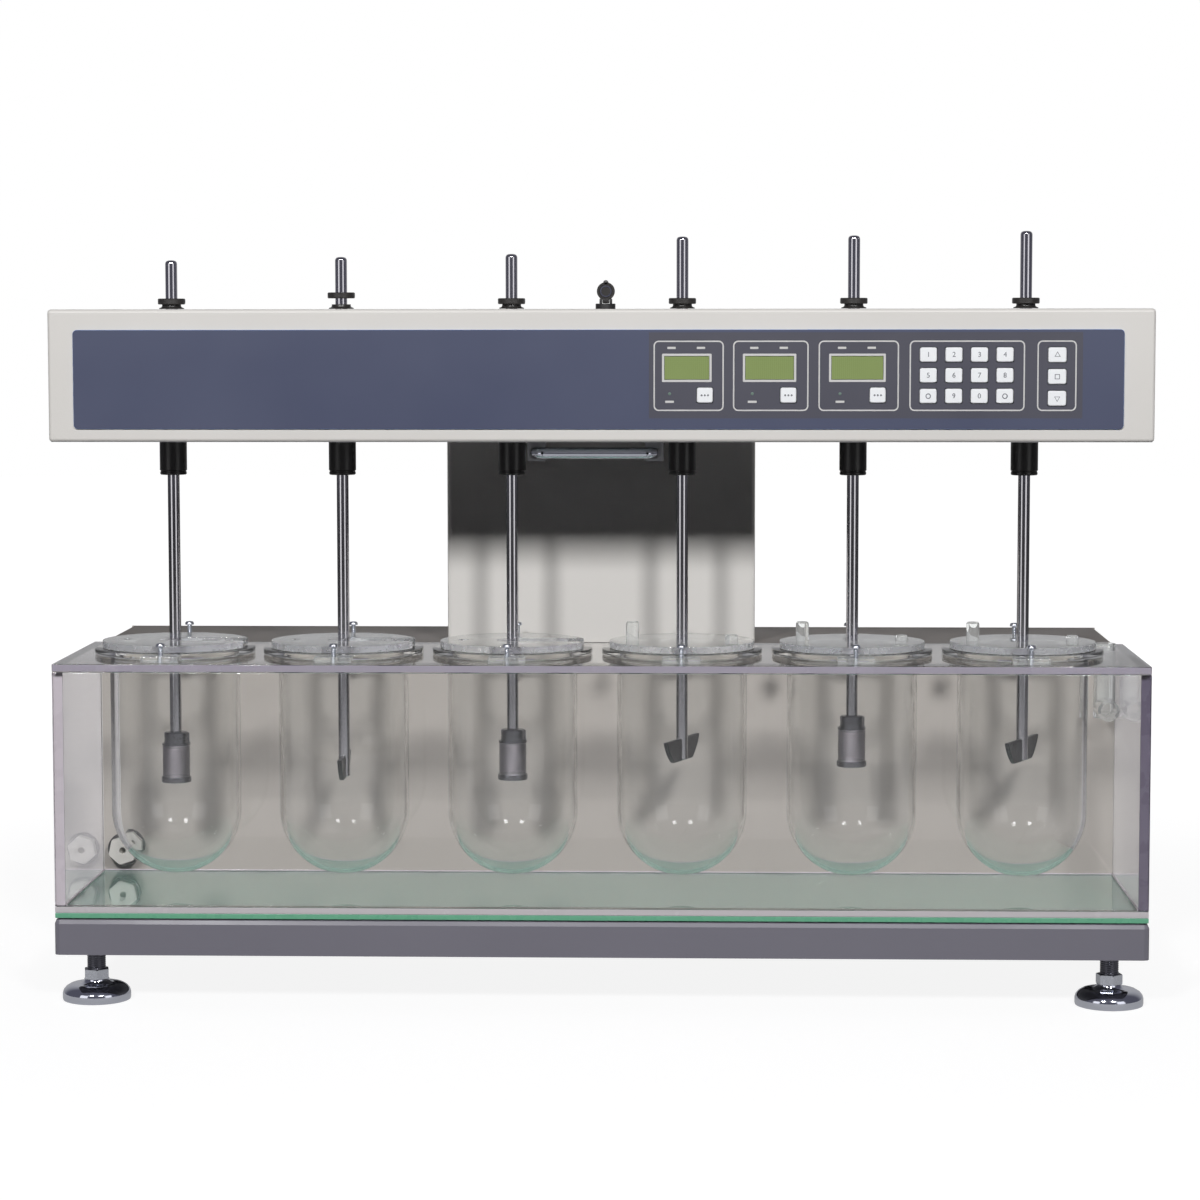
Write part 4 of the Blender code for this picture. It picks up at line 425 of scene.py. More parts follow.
def join(*parts):
    """Puts several bmeshes in the first one."""
    whole = parts[0]
    for part in parts[1:]:
        mesh = bpy.data.meshes.new("joined")
        part.to_mesh(mesh)
        part.free()
        whole.from_mesh(mesh)
        bpy.data.meshes.remove(mesh)
    return whole


# %% [markdown]
# A Boolean modifier cuts one solid from another. It needs two objects, so the helper makes them
# for a moment, takes the result and removes both. Every finished piece is shaded smooth, and a
# pass that weighs the normals by area keeps its flat faces flat.
# %% cut and piece
def combine(bm, other, way="DIFFERENCE"):
    pair = []
    for name, shape in (("kept", bm), ("tool", other)):
        mesh = bpy.data.meshes.new(name)
        shape.to_mesh(mesh)
        shape.free()
        pair.append(bpy.data.objects.new(name, mesh))
        scene.collection.objects.link(pair[-1])
    modifier = pair[0].modifiers.new("combine", "BOOLEAN")
    modifier.operation = way
    modifier.object = pair[1]
    modifier.solver = "EXACT"
    view = bpy.context.evaluated_depsgraph_get()
    result = bpy.data.meshes.new_from_object(pair[0].evaluated_get(view))
    whole = bmesh.new()
    whole.from_mesh(result)
    bmesh.ops.remove_doubles(whole, verts=whole.verts, dist=1e-6)
    bpy.data.meshes.remove(result)
    for thing in pair:
        mesh = thing.data
        bpy.data.objects.remove(thing)
        bpy.data.meshes.remove(mesh)
    return whole


made = []


def level_normals(thing):
    """Large faces keep their own direction, so flat glass stays flat and only the bevels look round."""
    even = thing.modifiers.new("even", "WEIGHTED_NORMAL")
    even.mode = "FACE_AREA"
    even.keep_sharp = True
    view = bpy.context.evaluated_depsgraph_get()
    rough = thing.data
    smooth = bpy.data.meshes.new_from_object(thing.evaluated_get(view), preserve_all_data_layers=True,
                                             depsgraph=view)
    thing.modifiers.clear()
    thing.data = smooth
    bpy.data.meshes.remove(rough)
    smooth.name = thing.name


def piece(name, bm, finish, body, replaces=(), crease=35):
    """Makes the object, gives it its finishes and puts it on its body."""
    mesh = bpy.data.meshes.new(name)
    bm.to_mesh(mesh)
    bm.free()
    for each in finish if isinstance(finish, (list, tuple)) else [finish]:
        mesh.materials.append(each)
    mesh.shade_smooth()
    mesh.set_sharp_from_angle(angle=radians(crease))
    thing = bpy.data.objects.new(name, mesh)
    scene.collection.objects.link(thing)
    level_normals(thing)
    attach(thing, body)
    if replaces:
        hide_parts(*replaces)
    made.append(name)
    return thing


def edges_take(bm, slot_index, test):
    """Gives the faces whose normal passes the test another finish."""
    bm.normal_update()
    for face in bm.faces:
        if test(face.normal):
            face.material_index = slot_index
    return bm


print("helpers ready")

# %% [markdown]
# Four levelling feet carry the instrument. Each has a pressed disc with a rolled rim, a shallow
# groove and a boss, a hexagon nut and a thick threaded stud with a ring under the base. Disc and
# stud are turned shapes, so they are spun; the nut is a six-sided prism whose corners are taken
# off by a cone.
# %% levelling feet
def hexagon(flats, low, high, corner_cut=0.0009):
    """A nut's prism between two levels, with its corners chamfered."""
    bm = bmesh.new()
    bmesh.ops.create_circle(bm, cap_ends=True, segments=6, radius=flats / 2 / cos(pi / 6))
    grown = bmesh.ops.extrude_face_region(bm, geom=list(bm.faces))
    top = [v for v in grown["geom"] if isinstance(v, bmesh.types.BMVert)]
    bmesh.ops.translate(bm, vec=(0, 0, high - low), verts=top)
    bmesh.ops.translate(bm, vec=(0, 0, low), verts=bm.verts)
    bmesh.ops.recalc_face_normals(bm, faces=bm.faces)
    reach = flats / 2 / cos(pi / 6) + 0.0004
    cone = lathe([(0, low - 0.001), (reach - corner_cut, low), (reach, low + corner_cut),
                  (reach, high - corner_cut), (reach - corner_cut, high), (0, high + 0.001)], 48)
    return combine(bm, cone, "INTERSECT")


def thread(radius, depth, pitch, low, high):
    """The side of a threaded rod, as close rings."""
    points = []
    level = low
    while level < high - pitch:
        points += [(radius, level), (radius, level + pitch * 0.2), (radius - depth, level + pitch * 0.6)]
        level += pitch
    return points + [(radius, level), (radius, high)]


for number in range(1, 5):
    node = "levelling_foot_%d" % number
    low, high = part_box(node)
    x, y = (low.x + high.x) / 2, (low.y + high.y) / 2
    rim = (high.x - low.x) / 2
    disc = lathe([(0, 0.0004), (rim - 0.003, 0.0004), (rim - 0.0016, 0), (rim - 0.0004, 0.0004),
                  (rim, 0.0018), (rim, 0.0062), (rim - 0.0008, 0.0088), (rim - 0.0028, 0.0112),
                  (rim - 0.006, 0.0131), (rim - 0.0095, 0.0139), (rim - 0.0125, 0.0137),
                  (0.0135, 0.0140), (0.0115, 0.0152), (0.0106, 0.0166), (0.0104, 0.0178),
                  (0, 0.0178)], 72)
    stud = lathe([(0, 0.0262)] + thread(0.0078, 0.0004, 0.00175, 0.0262, 0.0415) +
                 [(0.0084, 0.0415), (0.0084, 0.0437), (0.00675, 0.0437), (0.00675, high.z),
                  (0, high.z)], 48)
    piece(node + "_disc", shift(disc, x, y, 0), chrome, "frame", [node], crease=50)
    piece(node + "_stud", shift(stud, x, y, 0), thread_steel, "frame", [node], crease=60)
    nut = turn(hexagon(0.0195, 0.018, 0.0261), 12, "Z")
    piece(node + "_nut", shift(nut, x, y, 0), zinc, "frame", [node], crease=20)
print("feet", [n for n in made if "foot" in n][:3], "and three more sets")

# %% [markdown]
# The tank's floor is two sheets, one on the other: greenish float glass below and clear acrylic
# above. Each is one block, and the faces that point sideways take an opaque edge finish: a bright
# green line along the front for the glass and a pale line over it for the acrylic. The green is the
# glass's own; the brightness of both lines is painted light.
# %% floor of the tank
# Painted light: the glass edge is its own green painted bright, and the acrylic edge is a painted pale
# glow.
green_edge = new_finish("green_edge", chart(112, 182, 148), depth=0.12, cloud=30, shiny=0.2,
                        dull=0.35, patches=80, grain=500, relief=0.00003)
pale_edge = new_finish("pale_edge", chart(208, 203, 207), depth=0.06, cloud=40, shiny=0.15,
                       dull=0.3, patches=80, grain=500, relief=0.00002)
low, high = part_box("tank_floor")
glass_top = low.z + 0.0043
sheet = round_edges(block(low, (high.x, high.y, glass_top)), 0.0005, 2)
edges_take(sheet, 1, lambda n: abs(n.z) < 0.5)
piece("floor_glass_sheet", sheet, [float_glass, green_edge], "frame", ["tank_floor"])
sheet = round_edges(block((low.x, low.y, glass_top + 0.0002), high), 0.0004, 2)
edges_take(sheet, 1, lambda n: abs(n.z) < 0.5)
piece("floor_clear_sheet", sheet, [floor_acrylic, pale_edge], "frame", ["tank_floor"])
print("floor", round(high.z - low.z, 4), "thick")

# %% [markdown]
# Four acrylic plates stand on the floor: front and back over the full width, and two ends between
# them. Built as separate plates a hair apart, their polished edges catch the light along every
# joint, as the real ones do. The front edge of the left end takes a pale, milky finish, partly its
# sawn edge and partly painted light; that of the right end takes a dark one, painted shade. A thin
# bead of cement runs along the foot of three walls. The back plate has a hole for the drain stem.
# %% tank plates
tank_low, tank_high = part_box("tank_walls")
wall = 0.008
glue = 0.0001
drain_hole = 0.0068
drain_low, drain_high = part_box("drain_fitting")
drain_x = (drain_low.x + drain_high.x) / 2
drain_z = (drain_low.z + drain_high.z) / 2
front_plate = block(tank_low, (tank_high.x, tank_low.y + wall, tank_high.z))
back_plate = block((tank_low.x, tank_high.y - wall, tank_low.z), tank_high)
stem_hole = shift(turn(plug(drain_hole, -0.02, 0.02, 32), 90, "X"), drain_x,
                  tank_high.y - wall / 2, drain_z)
back_plate = combine(back_plate, stem_hole)
left_plate = block((tank_low.x, tank_low.y + wall + glue, tank_low.z),
                   (tank_low.x + wall, tank_high.y - wall - glue, tank_high.z))
right_plate = block((tank_high.x - wall, tank_low.y + wall + glue, tank_low.z),
                    (tank_high.x, tank_high.y - wall - glue, tank_high.z))
# The left end's front edge is painted pale, partly a milky sawn edge and partly painted light; the same
# finish serves the cement bead. The right end's front edge is painted dark: painted shade.
glued_edge = new_finish("glued_edge", chart(214, 205, 213), depth=0.08, cloud=25, shiny=0.2,
                        dull=0.4, patches=40, grain=400, relief=0.00003)
shaded_edge = new_finish("shaded_edge", chart(104, 96, 116), depth=0.12, cloud=25, shiny=0.2,
                         dull=0.4, patches=40, grain=400, relief=0.00003)
for name, bm, clear, edge in (("front", front_plate, acrylic, glued_edge),
                              ("back", back_plate, acrylic, glued_edge),
                              ("left", left_plate, end_acrylic, glued_edge),
                              ("right", right_plate, end_acrylic, shaded_edge)):
    round_edges(bm, 0.0005, 2, sharper=60)
    if clear is end_acrylic:
        edges_take(bm, 1, lambda n: n.y < -0.9)
    piece("tank_plate_" + name, bm, [clear, edge], "frame", ["tank_walls"])
bead = 0.0011
inner_low = Vector((tank_low.x + wall + glue, tank_low.y + wall + glue, tank_low.z + glue))
inner_high = Vector((tank_high.x - wall - glue, tank_high.y - wall - glue, tank_low.z + glue + bead))
seams = [block((inner_low.x, inner_high.y - bead, inner_low.z), inner_high),
         block(inner_low, (inner_low.x + bead, inner_high.y - bead - glue, inner_high.z)),
         block((inner_high.x - bead, inner_low.y, inner_low.z),
               (inner_high.x, inner_high.y - bead - glue, inner_high.z))]
piece("tank_floor_seams", join(*[round_edges(seam, 0.0004, 2) for seam in seams]), glued_edge, "frame",
      ["tank_walls"])
print("tank", tuple(round(v, 3) for v in tank_high - tank_low))

# %% [markdown]
# A thicker plate lies on the tank and carries the vessels in six round holes. The holes are cut
# by six cylinders at once, and the upright of the filling elbow comes through near the right end.
# Its front edge takes an opaque lilac-grey finish: partly a sawn, milky edge, partly painted light.
# %% top plate
stations = []
for number in range(1, 7):
    low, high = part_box("vessel_%d" % number)
    stations.append(((low.x + high.x) / 2, (low.y + high.y) / 2))
plate_low, plate_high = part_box("tank_top_plate")
plate_bottom, plate_top = tank_high.z + 0.0003, tank_high.z + 0.0068
elbow_low, elbow_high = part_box("inlet_elbow")
upright_radius = 0.0095
upright_x, upright_y = (elbow_low.x + elbow_high.x) / 2, elbow_high.y - upright_radius
openings = [(*spot, 0.0558) for spot in stations] + [(upright_x, upright_y, 0.0098)]
holes = [shift(plug(radius, plate_bottom - 0.01, plate_top + 0.01, 96), x, y, 0)
         for x, y, radius in openings]
top_plate = combine(block((plate_low.x, plate_low.y, plate_bottom),
                          (plate_high.x, tank_high.y, plate_top)), join(*holes))
round_edges(top_plate, 0.0005, 2, sharper=60)
# Painted light, partly a milky sawn edge: the front edge of the plate is an opaque lilac-grey.
plate_edge = new_finish("plate_edge", chart(172, 166, 180), depth=0.14, cloud=18, shiny=0.12,
                        dull=0.3, patches=30, grain=300, relief=0.00003)
edges_take(top_plate, 1, lambda n: n.y < -0.95)
piece("top_plate", top_plate, [acrylic, plate_edge], "frame", ["tank_top_plate"])
print("stations", [tuple(round(v, 4) for v in spot) for spot in stations])

# %% [markdown]
# Each vessel's flange is held by a small clamp in front and one behind. A clear block stands on
# the plate and a steel screw goes down through it; behind, a thin finger reaches over the flange.
# The screw is one turned outline: a domed head, then rings of thread.
# %% clamps
def clamp_screw(low, high):
    head = 0.003
    outline = [(0, low)] + thread(0.002, 0.0003, 0.0008, low, high - head)
    outline += [(0.00375, high - head), (0.00375, high - head * 0.45), (0.0030, high - head * 0.12),
                (0.0012, high - head * 0.02), (0.0011, high - head * 0.4), (0, high - head * 0.4)]
    return lathe(outline, 28)


half, bore = 0.0155, 0.0022
front_screws_y, rear_screws_y = -0.15585, -0.00065
for number, (x, y) in enumerate(stations, start=1):
    front = block((x - half, -0.16485, plate_top), (x + half, -0.14685, plate_top + 0.0052))
    front = combine(front, shift(plug(bore, 0.27, 0.31, 24), x, front_screws_y, 0))
    piece("clamp_block_front_%d" % number, round_edges(front, 0.0006, 2, sharper=60), lid_acrylic,
          "frame", ["tank_top_plate"])
    rear = block((x - half, -0.00965, plate_top), (x + half, 0.00835, plate_top + 0.0056))
    finger = block((x - half, -0.01415, plate_top + 0.0058), (x + half, 0.00835, plate_top + 0.0094))
    for name, bm in (("clamp_block_rear", rear), ("clamp_finger", finger)):
        bm = combine(bm, shift(plug(bore, 0.27, 0.32, 24), x, rear_screws_y, 0))
        piece("%s_%d" % (name, number), round_edges(bm, 0.0006, 2, sharper=60), lid_acrylic, "frame",
              ["tank_top_plate"])
    screws = join(shift(clamp_screw(plate_top - 0.004, 0.3027), x, front_screws_y, 0),
                  shift(clamp_screw(plate_top - 0.004, 0.3069), x, rear_screws_y, 0))
    piece("clamp_screws_%d" % number, screws, zinc, "frame", ["tank_top_plate"], crease=60)
print("clamps", len([n for n in made if n.startswith("clamp")]))

# %% [markdown]
# The vessels are blown glass: a tube with a half-round bottom and a flat flange ground on its rim.
# One closed outline, outer wall then inner wall, is spun round the axis. Both ends of the outline
# lie on the axis, so the wall is closed and its thickness is real, which the refraction needs.
# %% vessels
def vessel_outline(bottom, flange_bottom, flange_top, radius, thickness, flange_radius, bend=20):
    centre = bottom + radius
    inner = radius - thickness
    points = []
    for step in range(bend + 1):
        angle = pi / 2 * step / bend
        points.append((radius * sin(angle), centre - radius * cos(angle)))
    points += [(radius, flange_bottom - 0.004), (radius + 0.0008, flange_bottom - 0.0012),
               (radius + 0.0026, flange_bottom), (flange_radius - 0.0008, flange_bottom),
               (flange_radius, flange_bottom + 0.0008), (flange_radius, flange_top - 0.0008),
               (flange_radius - 0.0008, flange_top), (inner + 0.0014, flange_top),
               (inner + 0.0003, flange_top - 0.0006), (inner, flange_top - 0.002)]
    for step in range(bend, -1, -1):
        angle = pi / 2 * step / bend
        points.append((inner * sin(angle), centre - inner * cos(angle)))
    return points


for number, (x, y) in enumerate(stations, start=1):
    node = "vessel_%d" % number
    low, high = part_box(node)
    outline = vessel_outline(low.z, plate_top + 0.0003, high.z, 0.055, 0.003, (high.x - low.x) / 2)
    piece(node + "_glass", shift(lathe(outline, 96), x, y, 0), vessel_glass, "frame",
          [node], crease=60)
print("vessels", [n for n in made if n.startswith("vessel")])

# %% [markdown]
# A clear lid lies on each vessel. The first three have a slot to one side, so that they slide
# round a shaft, and a hole for a sampling tube; the other three have a plain bore and two pegs.
# Their sawn rims are frosted, so the faces that point sideways take a duller clear finish.
# %% lids
slot_half, side_hole_x = 0.0135, 0.042
for number, (x, y) in enumerate(stations, start=1):
    node = "lid_%d" % number
    low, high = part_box(node)
    radius = (high.x - low.x) / 2 if number > 3 else 0.0615
    top = low.z + 0.006
    disc = plug(radius, low.z, top, 96)
    under, over = low.z - 0.01, top + 0.01
    if number < 4:
        disc = combine(disc, block((0, -slot_half, under), (0.08, slot_half, over)))
        disc = combine(disc, plug(slot_half, under, over, 48))
        disc = combine(disc, shift(plug(0.00475, under, over, 32), -side_hole_x, 0, 0))
    else:
        disc = combine(disc, plug(0.00625, under, over, 40))
    round_edges(disc, 0.0005, 2, sharper=60)
    edges_take(disc, 1, lambda n: abs(n.z) < 0.3)
    piece(node + "_disc", shift(disc, x, y, 0), [lid_acrylic, cut_acrylic], node,
          [node])
    if number > 3:
        for side, way, peg_top in ((-1, "left", high.z), (1, "right", top + 0.0048)):
            peg = lathe([(0, top + 0.0001), (0.0055, top + 0.0001), (0.0055, peg_top - 0.0012),
                         (0.0043, peg_top), (0, peg_top)], 40)
            piece("%s_peg_%s" % (node, way), shift(peg, x + side * side_hole_x, y, 0), lid_acrylic,
                  node, [node])
print("lids", [n for n in made if n.startswith("lid_")])

# %% [markdown]
# The drain goes through the back plate near the left end: a white hexagon nut, a black washer and
# a white stem with a bore. They are made upright and then turned to lie along Y.
# %% drain fitting
nut = turn(hexagon(0.0225, 0, 0.009, 0.0012), 12, "Z")
bore = 0.0029
nut = combine(nut, lathe([(0, -0.01), (0.0058, -0.01), (0.0058, 0.0006), (0.0052, 0.0006),
                          (0.0052, -0.0002), (bore, -0.0002), (bore, 0.02), (0, 0.02)], 40))
washer = sleeve(drain_hole, 0.0145, 0.0091, 0.011, 64)
round_edges(washer, 0.0004, 2, sharper=60)
stem = sleeve(bore, 0.0064, 0.0092, drain_high.y - drain_low.y, 40)
for name, bm, finish in (("nut", nut, white_nylon), ("washer", washer, matt_black),
                         ("stem", stem, white_nylon)):
    bm = turn(bm, -90, "X")
    piece("drain_" + name, shift(bm, drain_x, drain_low.y, drain_z), finish, "frame",
          ["drain_fitting"], crease=25)
print("drain at", round(drain_x, 4), round(drain_z, 4))

# %% [markdown]
# Water is filled in through a clear elbow: a tube that comes down through the top plate and an arm
# that turns to the front. Two rods are united, and then both bores are cut through.
# %% filling elbow
arm_z = elbow_low.z + 0.0095
arm_radius = 0.0092


def rod_along_y(radius, front, back, steps=48):
    return turn(plug(radius, -back, -front, steps), 90, "X")


arm = shift(rod_along_y(arm_radius, elbow_low.y - upright_y, 0), 0, 0, arm_z)
elbow = combine(plug(upright_radius, elbow_low.z, elbow_high.z, 48), arm, "UNION")
elbow = combine(elbow, plug(0.007, arm_z - 0.005, 0.35, 40))
elbow = combine(elbow, shift(rod_along_y(0.0068, -0.08, 0.0, 40), 0, 0, arm_z))
piece("inlet_elbow_tube", shift(elbow, upright_x, upright_y, 0), lid_acrylic, "frame",
      ["inlet_elbow"], crease=40)
print("elbow top", round(elbow_high.z, 4))

# %% [markdown]
# The rear cover is a painted sheet with two rows of cooling slots, held by pan-head screws, and a
# black mains inlet sits in it. The slots are cut as rounded blocks, and the inlet is a plastic
# block with a pocket and three flat pins.
# %% rear cover
def at_inlet(half_x, front, back, half_z, x=0.330, z=0.1198):
    """A block round the middle of the mains inlet."""
    return block((x - half_x, front, z - half_z), (x + half_x, back, z + half_z))


cover_low, cover_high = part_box("rear_cover")
sheet_front, sheet_back = cover_low.y, cover_high.y
slots = []
for side in (-1, 1):
    for count in range(8):
        slot_x = side * 0.300 + (count - 3.5) * 0.012
        cutter = block((slot_x - 0.002, sheet_front - 0.01, 0.1968),
                       (slot_x + 0.002, sheet_back + 0.01, 0.2568))
        slots.append(round_edges(cutter, 0.0019, 4, along="Y"))
slots.append(at_inlet(0.0165, sheet_front - 0.02, sheet_back + 0.02, 0.0125))
cover_sheet = combine(block((cover_low.x, sheet_back - 0.0015, cover_low.z), cover_high), join(*slots))
piece("rear_cover_sheet", round_edges(cover_sheet, 0.0003, 2, sharper=60), housing_paint, "frame",
      ["rear_cover"])
inlet = round_edges(at_inlet(0.0162, sheet_back - 0.013, sheet_back, 0.0122), 0.002, 3, along="Y")
pocket = at_inlet(0.0125, sheet_back - 0.011, sheet_back + 0.01, 0.0085)
inlet = combine(inlet, round_edges(pocket, 0.003, 3, along="Y"))
for pin_x, pin_z in ((-0.007, -0.0018), (0, 0.0032), (0.007, -0.0018)):
    pin = shift(at_inlet(0.001, sheet_back - 0.0112, sheet_back - 0.003, 0.002), pin_x, 0, pin_z)
    inlet = join(inlet, round_edges(edges_take(pin, 1, lambda n: True), 0.0003, 2))
piece("mains_inlet", inlet, [matt_black, zinc], "frame", ["rear_cover"])
screws = []
for screw_x in (-0.43, -0.145, 0.145, 0.43):
    for screw_z in (cover_low.z + 0.011, cover_high.z - 0.011):
        head = lathe([(0, 0), (0.0036, 0), (0.0036, 0.0009), (0.0028, 0.0019), (0.001, 0.0022),
                      (0.0009, 0.0012), (0, 0.0012)], 24)
        screws.append(shift(turn(head, -90, "X"), screw_x, sheet_back, screw_z))
piece("rear_cover_screws", join(*screws), zinc, "frame", ["rear_cover"], crease=50)
print("cover", len(slots) - 1, "slots", len(screws), "screws")

# %% [markdown]
# The housing, the column, the mast and the pump are plain sheet shapes that the imported model has
# already, so they keep their meshes and only get better finishes. The housing's top takes a darker
# tint than its walls, a painted shade, so its paint asks the object's height where it is.
# %% finishes for the kept nodes
dressed = {"base_frame": base_paint, "rear_housing": housing_paint, "column": column_paint,
           "lift_mast": column_paint, "circulator": blade_steel, "motor_pulley": blade_steel,
           "drive_motor": matt_black, "drive_belt": belt_rubber}
for node, finish in dressed.items():
    mesh = frame["nodes"][node].data
    mesh.materials.clear()
    mesh.materials.append(finish)
tree = housing_paint.node_tree
# Painted shade: the housing's top takes a darker tint than its walls, for the low light that falls on
# it.
axes = add(tree, "SeparateXYZ", {0: tree.nodes["Texture Coordinate"].outputs["Object"]})
shaded_top = maths(tree, "GREATER_THAN", axes.outputs["Z"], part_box("rear_housing")[1].z - 0.0005)
top_shade_tones = add(tree, "Mix", {"Factor": shaded_top, "A": (*housing_tint, 1),
                              "B": (*chart(132, 127, 124), 1)}, data_type="RGBA")
tint_node = next(n for n in tree.nodes if n.type == "GROUP" and n.node_tree is uneven_tint)
tree.links.new(top_shade_tones.outputs["Result"], tint_node.inputs["Tint"])
print("dressed", len(dressed))

# %% [markdown]
# The head's cover is a folded and painted sheet, open below, with a window in front for the
# controls and a hole on top for each shaft. Its edges are rounded before the inside is taken
# out, so the wall stays even.
# %% head cover
head_low, head_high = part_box("head_housing")
head_top = head_low.z + 0.1085
cover = round_edges(block(head_low, (head_high.x, head_high.y, head_top)), 0.003, 4)
sheet = 0.0015
hollow = round_edges(block((head_low.x + sheet, head_low.y + sheet, head_low.z - 0.01),
                           (head_high.x - sheet, head_high.y - sheet, head_top - sheet)), 0.0015, 2)
cover = combine(cover, hollow)
cover = combine(cover, block((0.0393, head_low.y - 0.01, 0.4929), (0.3939, head_low.y + 0.01, 0.5552)))
cover = combine(cover, join(*[shift(plug(0.0086, 0.55, 0.6, 40), x, y, 0) for x, y in stations]))
piece("head_cover", cover, cover_paint, "head", ["head_housing"], crease=25)
print("head", tuple(round(v, 3) for v in head_high - head_low))

# %% [markdown]
# Near the middle of the top stands a short black socket for a temperature probe, cut off at a
# slant, with a cap that hangs on a pin. Cap and socket are separate, because the cap swings.
# %% probe socket
probe_low, probe_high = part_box("probe_cap")
probe_x = (probe_low.x + probe_high.x) / 2
socket_y, cap_y, cap_z = -0.11805, -0.10925, 0.5933
socket = lathe([(0.005, head_top - 0.004), (0.008, head_top - 0.004), (0.00825, head_top + 0.0001),
                (0.00825, head_top + 0.0045), (0.005, head_top + 0.0045)], 48, closed=True)
socket = shift(round_edges(socket, 0.0005, 2, sharper=60), probe_x, socket_y, 0)
ears = [block((probe_x + side * 0.0042 - 0.0011, -0.1112, head_top + 0.0001),
              (probe_x + side * 0.0042 + 0.0011, -0.1073, head_top + 0.0088)) for side in (-1, 1)]
socket = join(socket, *[round_edges(ear, 0.0008, 2) for ear in ears])
piece("probe_socket", socket, matt_black, "head", ["head_housing"])
disc = lathe([(0, -0.0012), (0.0070, -0.0012), (0.0075, -0.0006), (0.0075, 0.0006), (0.0070, 0.0012),
              (0.0056, 0.0012), (0.0052, 0.0007), (0, 0.0007)], 48)
disc = shift(turn(disc, 90, "X"), probe_x, cap_y, cap_z)
ring = sleeve(0.0038, 0.0048, 0.0008, 0.0011, 48)
ring = shift(turn(ring, 90, "X"), probe_x, cap_y, cap_z)
arm = round_edges(block((probe_x - 0.0029, -0.1105, 0.5832), (probe_x + 0.0029, -0.1080, 0.5876)),
                  0.0008, 2)
tab = shift(turn(plug(0.0022, -0.0012, 0.0012, 24), 90, "X"), probe_x, cap_y, 0.6004)
round_edges(tab, 0.0007, 2, sharper=60)
piece("probe_cap_disc", join(disc, arm, tab), black_nylon, "probe_cap", ["probe_cap"])
piece("probe_cap_ring", ring, chrome, "probe_cap", ["probe_cap"])
print("probe socket at", round(probe_x, 4))

# %% [markdown]
# A plate closes the head from below and carries a black bearing bush at each station. The bushes
# are turned tubes with a thin ring at the lower end. The plate also holds the lifting handle
# between two small tabs.
# %% base plate and bushes
base_low, base_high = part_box("head_base_plate")
bush_bottom, bush_top = base_low.z, base_high.z
plate_z = head_low.z
under_plate = block((base_low.x, base_low.y, plate_z), (base_high.x, base_high.y, plate_z + 0.003))
under_plate = combine(under_plate, join(*[shift(plug(0.0114, 0.46, 0.48, 40), x, y, 0)
                                          for x, y in stations]))
handle_low, handle_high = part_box("lift_handle")
rod = 0.0051
for tab_x in (handle_low.x + rod, handle_high.x - rod):
    tab = block((tab_x - 0.008, handle_high.y + 0.0003, 0.4467),
                (tab_x + 0.008, handle_high.y + 0.0033, plate_z))
    under_plate = join(under_plate, round_edges(tab, 0.001, 2, along="Y"))
piece("head_under_plate", under_plate, sheet_metal, "head", ["head_base_plate"])
for number, (x, y) in enumerate(stations, start=1):
    bush = lathe([(0.0083, bush_bottom), (0.0105, bush_bottom), (0.0112, bush_bottom + 0.0006),
                  (0.0112, bush_bottom + 0.0022), (0.0108, bush_bottom + 0.0026),
                  (0.0108, bush_bottom + 0.0034), (0.0115, bush_bottom + 0.0040),
                  (0.0115, plate_z - 0.0002), (0.0113, plate_z), (0.0113, bush_top),
                  (0.0083, bush_top)], 56, closed=True)
    piece("bearing_bush_%d" % number, shift(bush, x, y, 0), black_nylon, "head",
          ["head_base_plate"], crease=30)
print("bushes", len(stations))

# %% [markdown]
# The lifting handle is one chromed rod with two bends. A curve with a round bevel follows its
# line, and it is turned into a mesh straight away.
# %% lifting handle
def bmesh_of(curve):
    """Turns a curve or a text into a bmesh and removes it."""
    holder = bpy.data.objects.new(curve.name, curve)
    scene.collection.objects.link(holder)
    bpy.context.view_layer.update()
    view = bpy.context.evaluated_depsgraph_get()
    mesh = bpy.data.meshes.new_from_object(holder.evaluated_get(view))
    bm = bmesh.new()
    bm.from_mesh(mesh)
    bpy.data.objects.remove(holder)
    bpy.data.curves.remove(curve)
    bpy.data.meshes.remove(mesh)
    return bm


def rod_on(points, radius, sides=8):
    """A round rod along a line of points."""
    curve = bpy.data.curves.new("rod", "CURVE")
    curve.dimensions = "3D"
    curve.bevel_depth = radius
    curve.bevel_resolution = sides
    curve.use_fill_caps = True
    line = curve.splines.new("POLY")
    line.points.add(len(points) - 1)
    for point, spot in zip(line.points, points):
        point.co = (*spot, 1)
    bm = bmesh_of(curve)
    bmesh.ops.remove_doubles(bm, verts=bm.verts, dist=1e-6)
    bmesh.ops.recalc_face_normals(bm, faces=bm.faces)
    return bm


bend = 0.009
left, right = handle_low.x + rod, handle_high.x - rod
bar_y, bar_z = handle_low.y + rod, (handle_low.z + handle_high.z) / 2
path = [(left, handle_high.y, bar_z)]
for corner_x, begin in ((left + bend, 180), (right - bend, 270)):
    for step in range(9):
        angle = radians(begin + 90 * step / 8)
        path.append((corner_x + bend * cos(angle), bar_y + bend + bend * sin(angle), bar_z))
path.append((right, handle_high.y, bar_z))
piece("lifting_handle", rod_on(path, rod), chrome, "head", ["lift_handle"])
print("handle", round(right - left, 4), "between its legs")

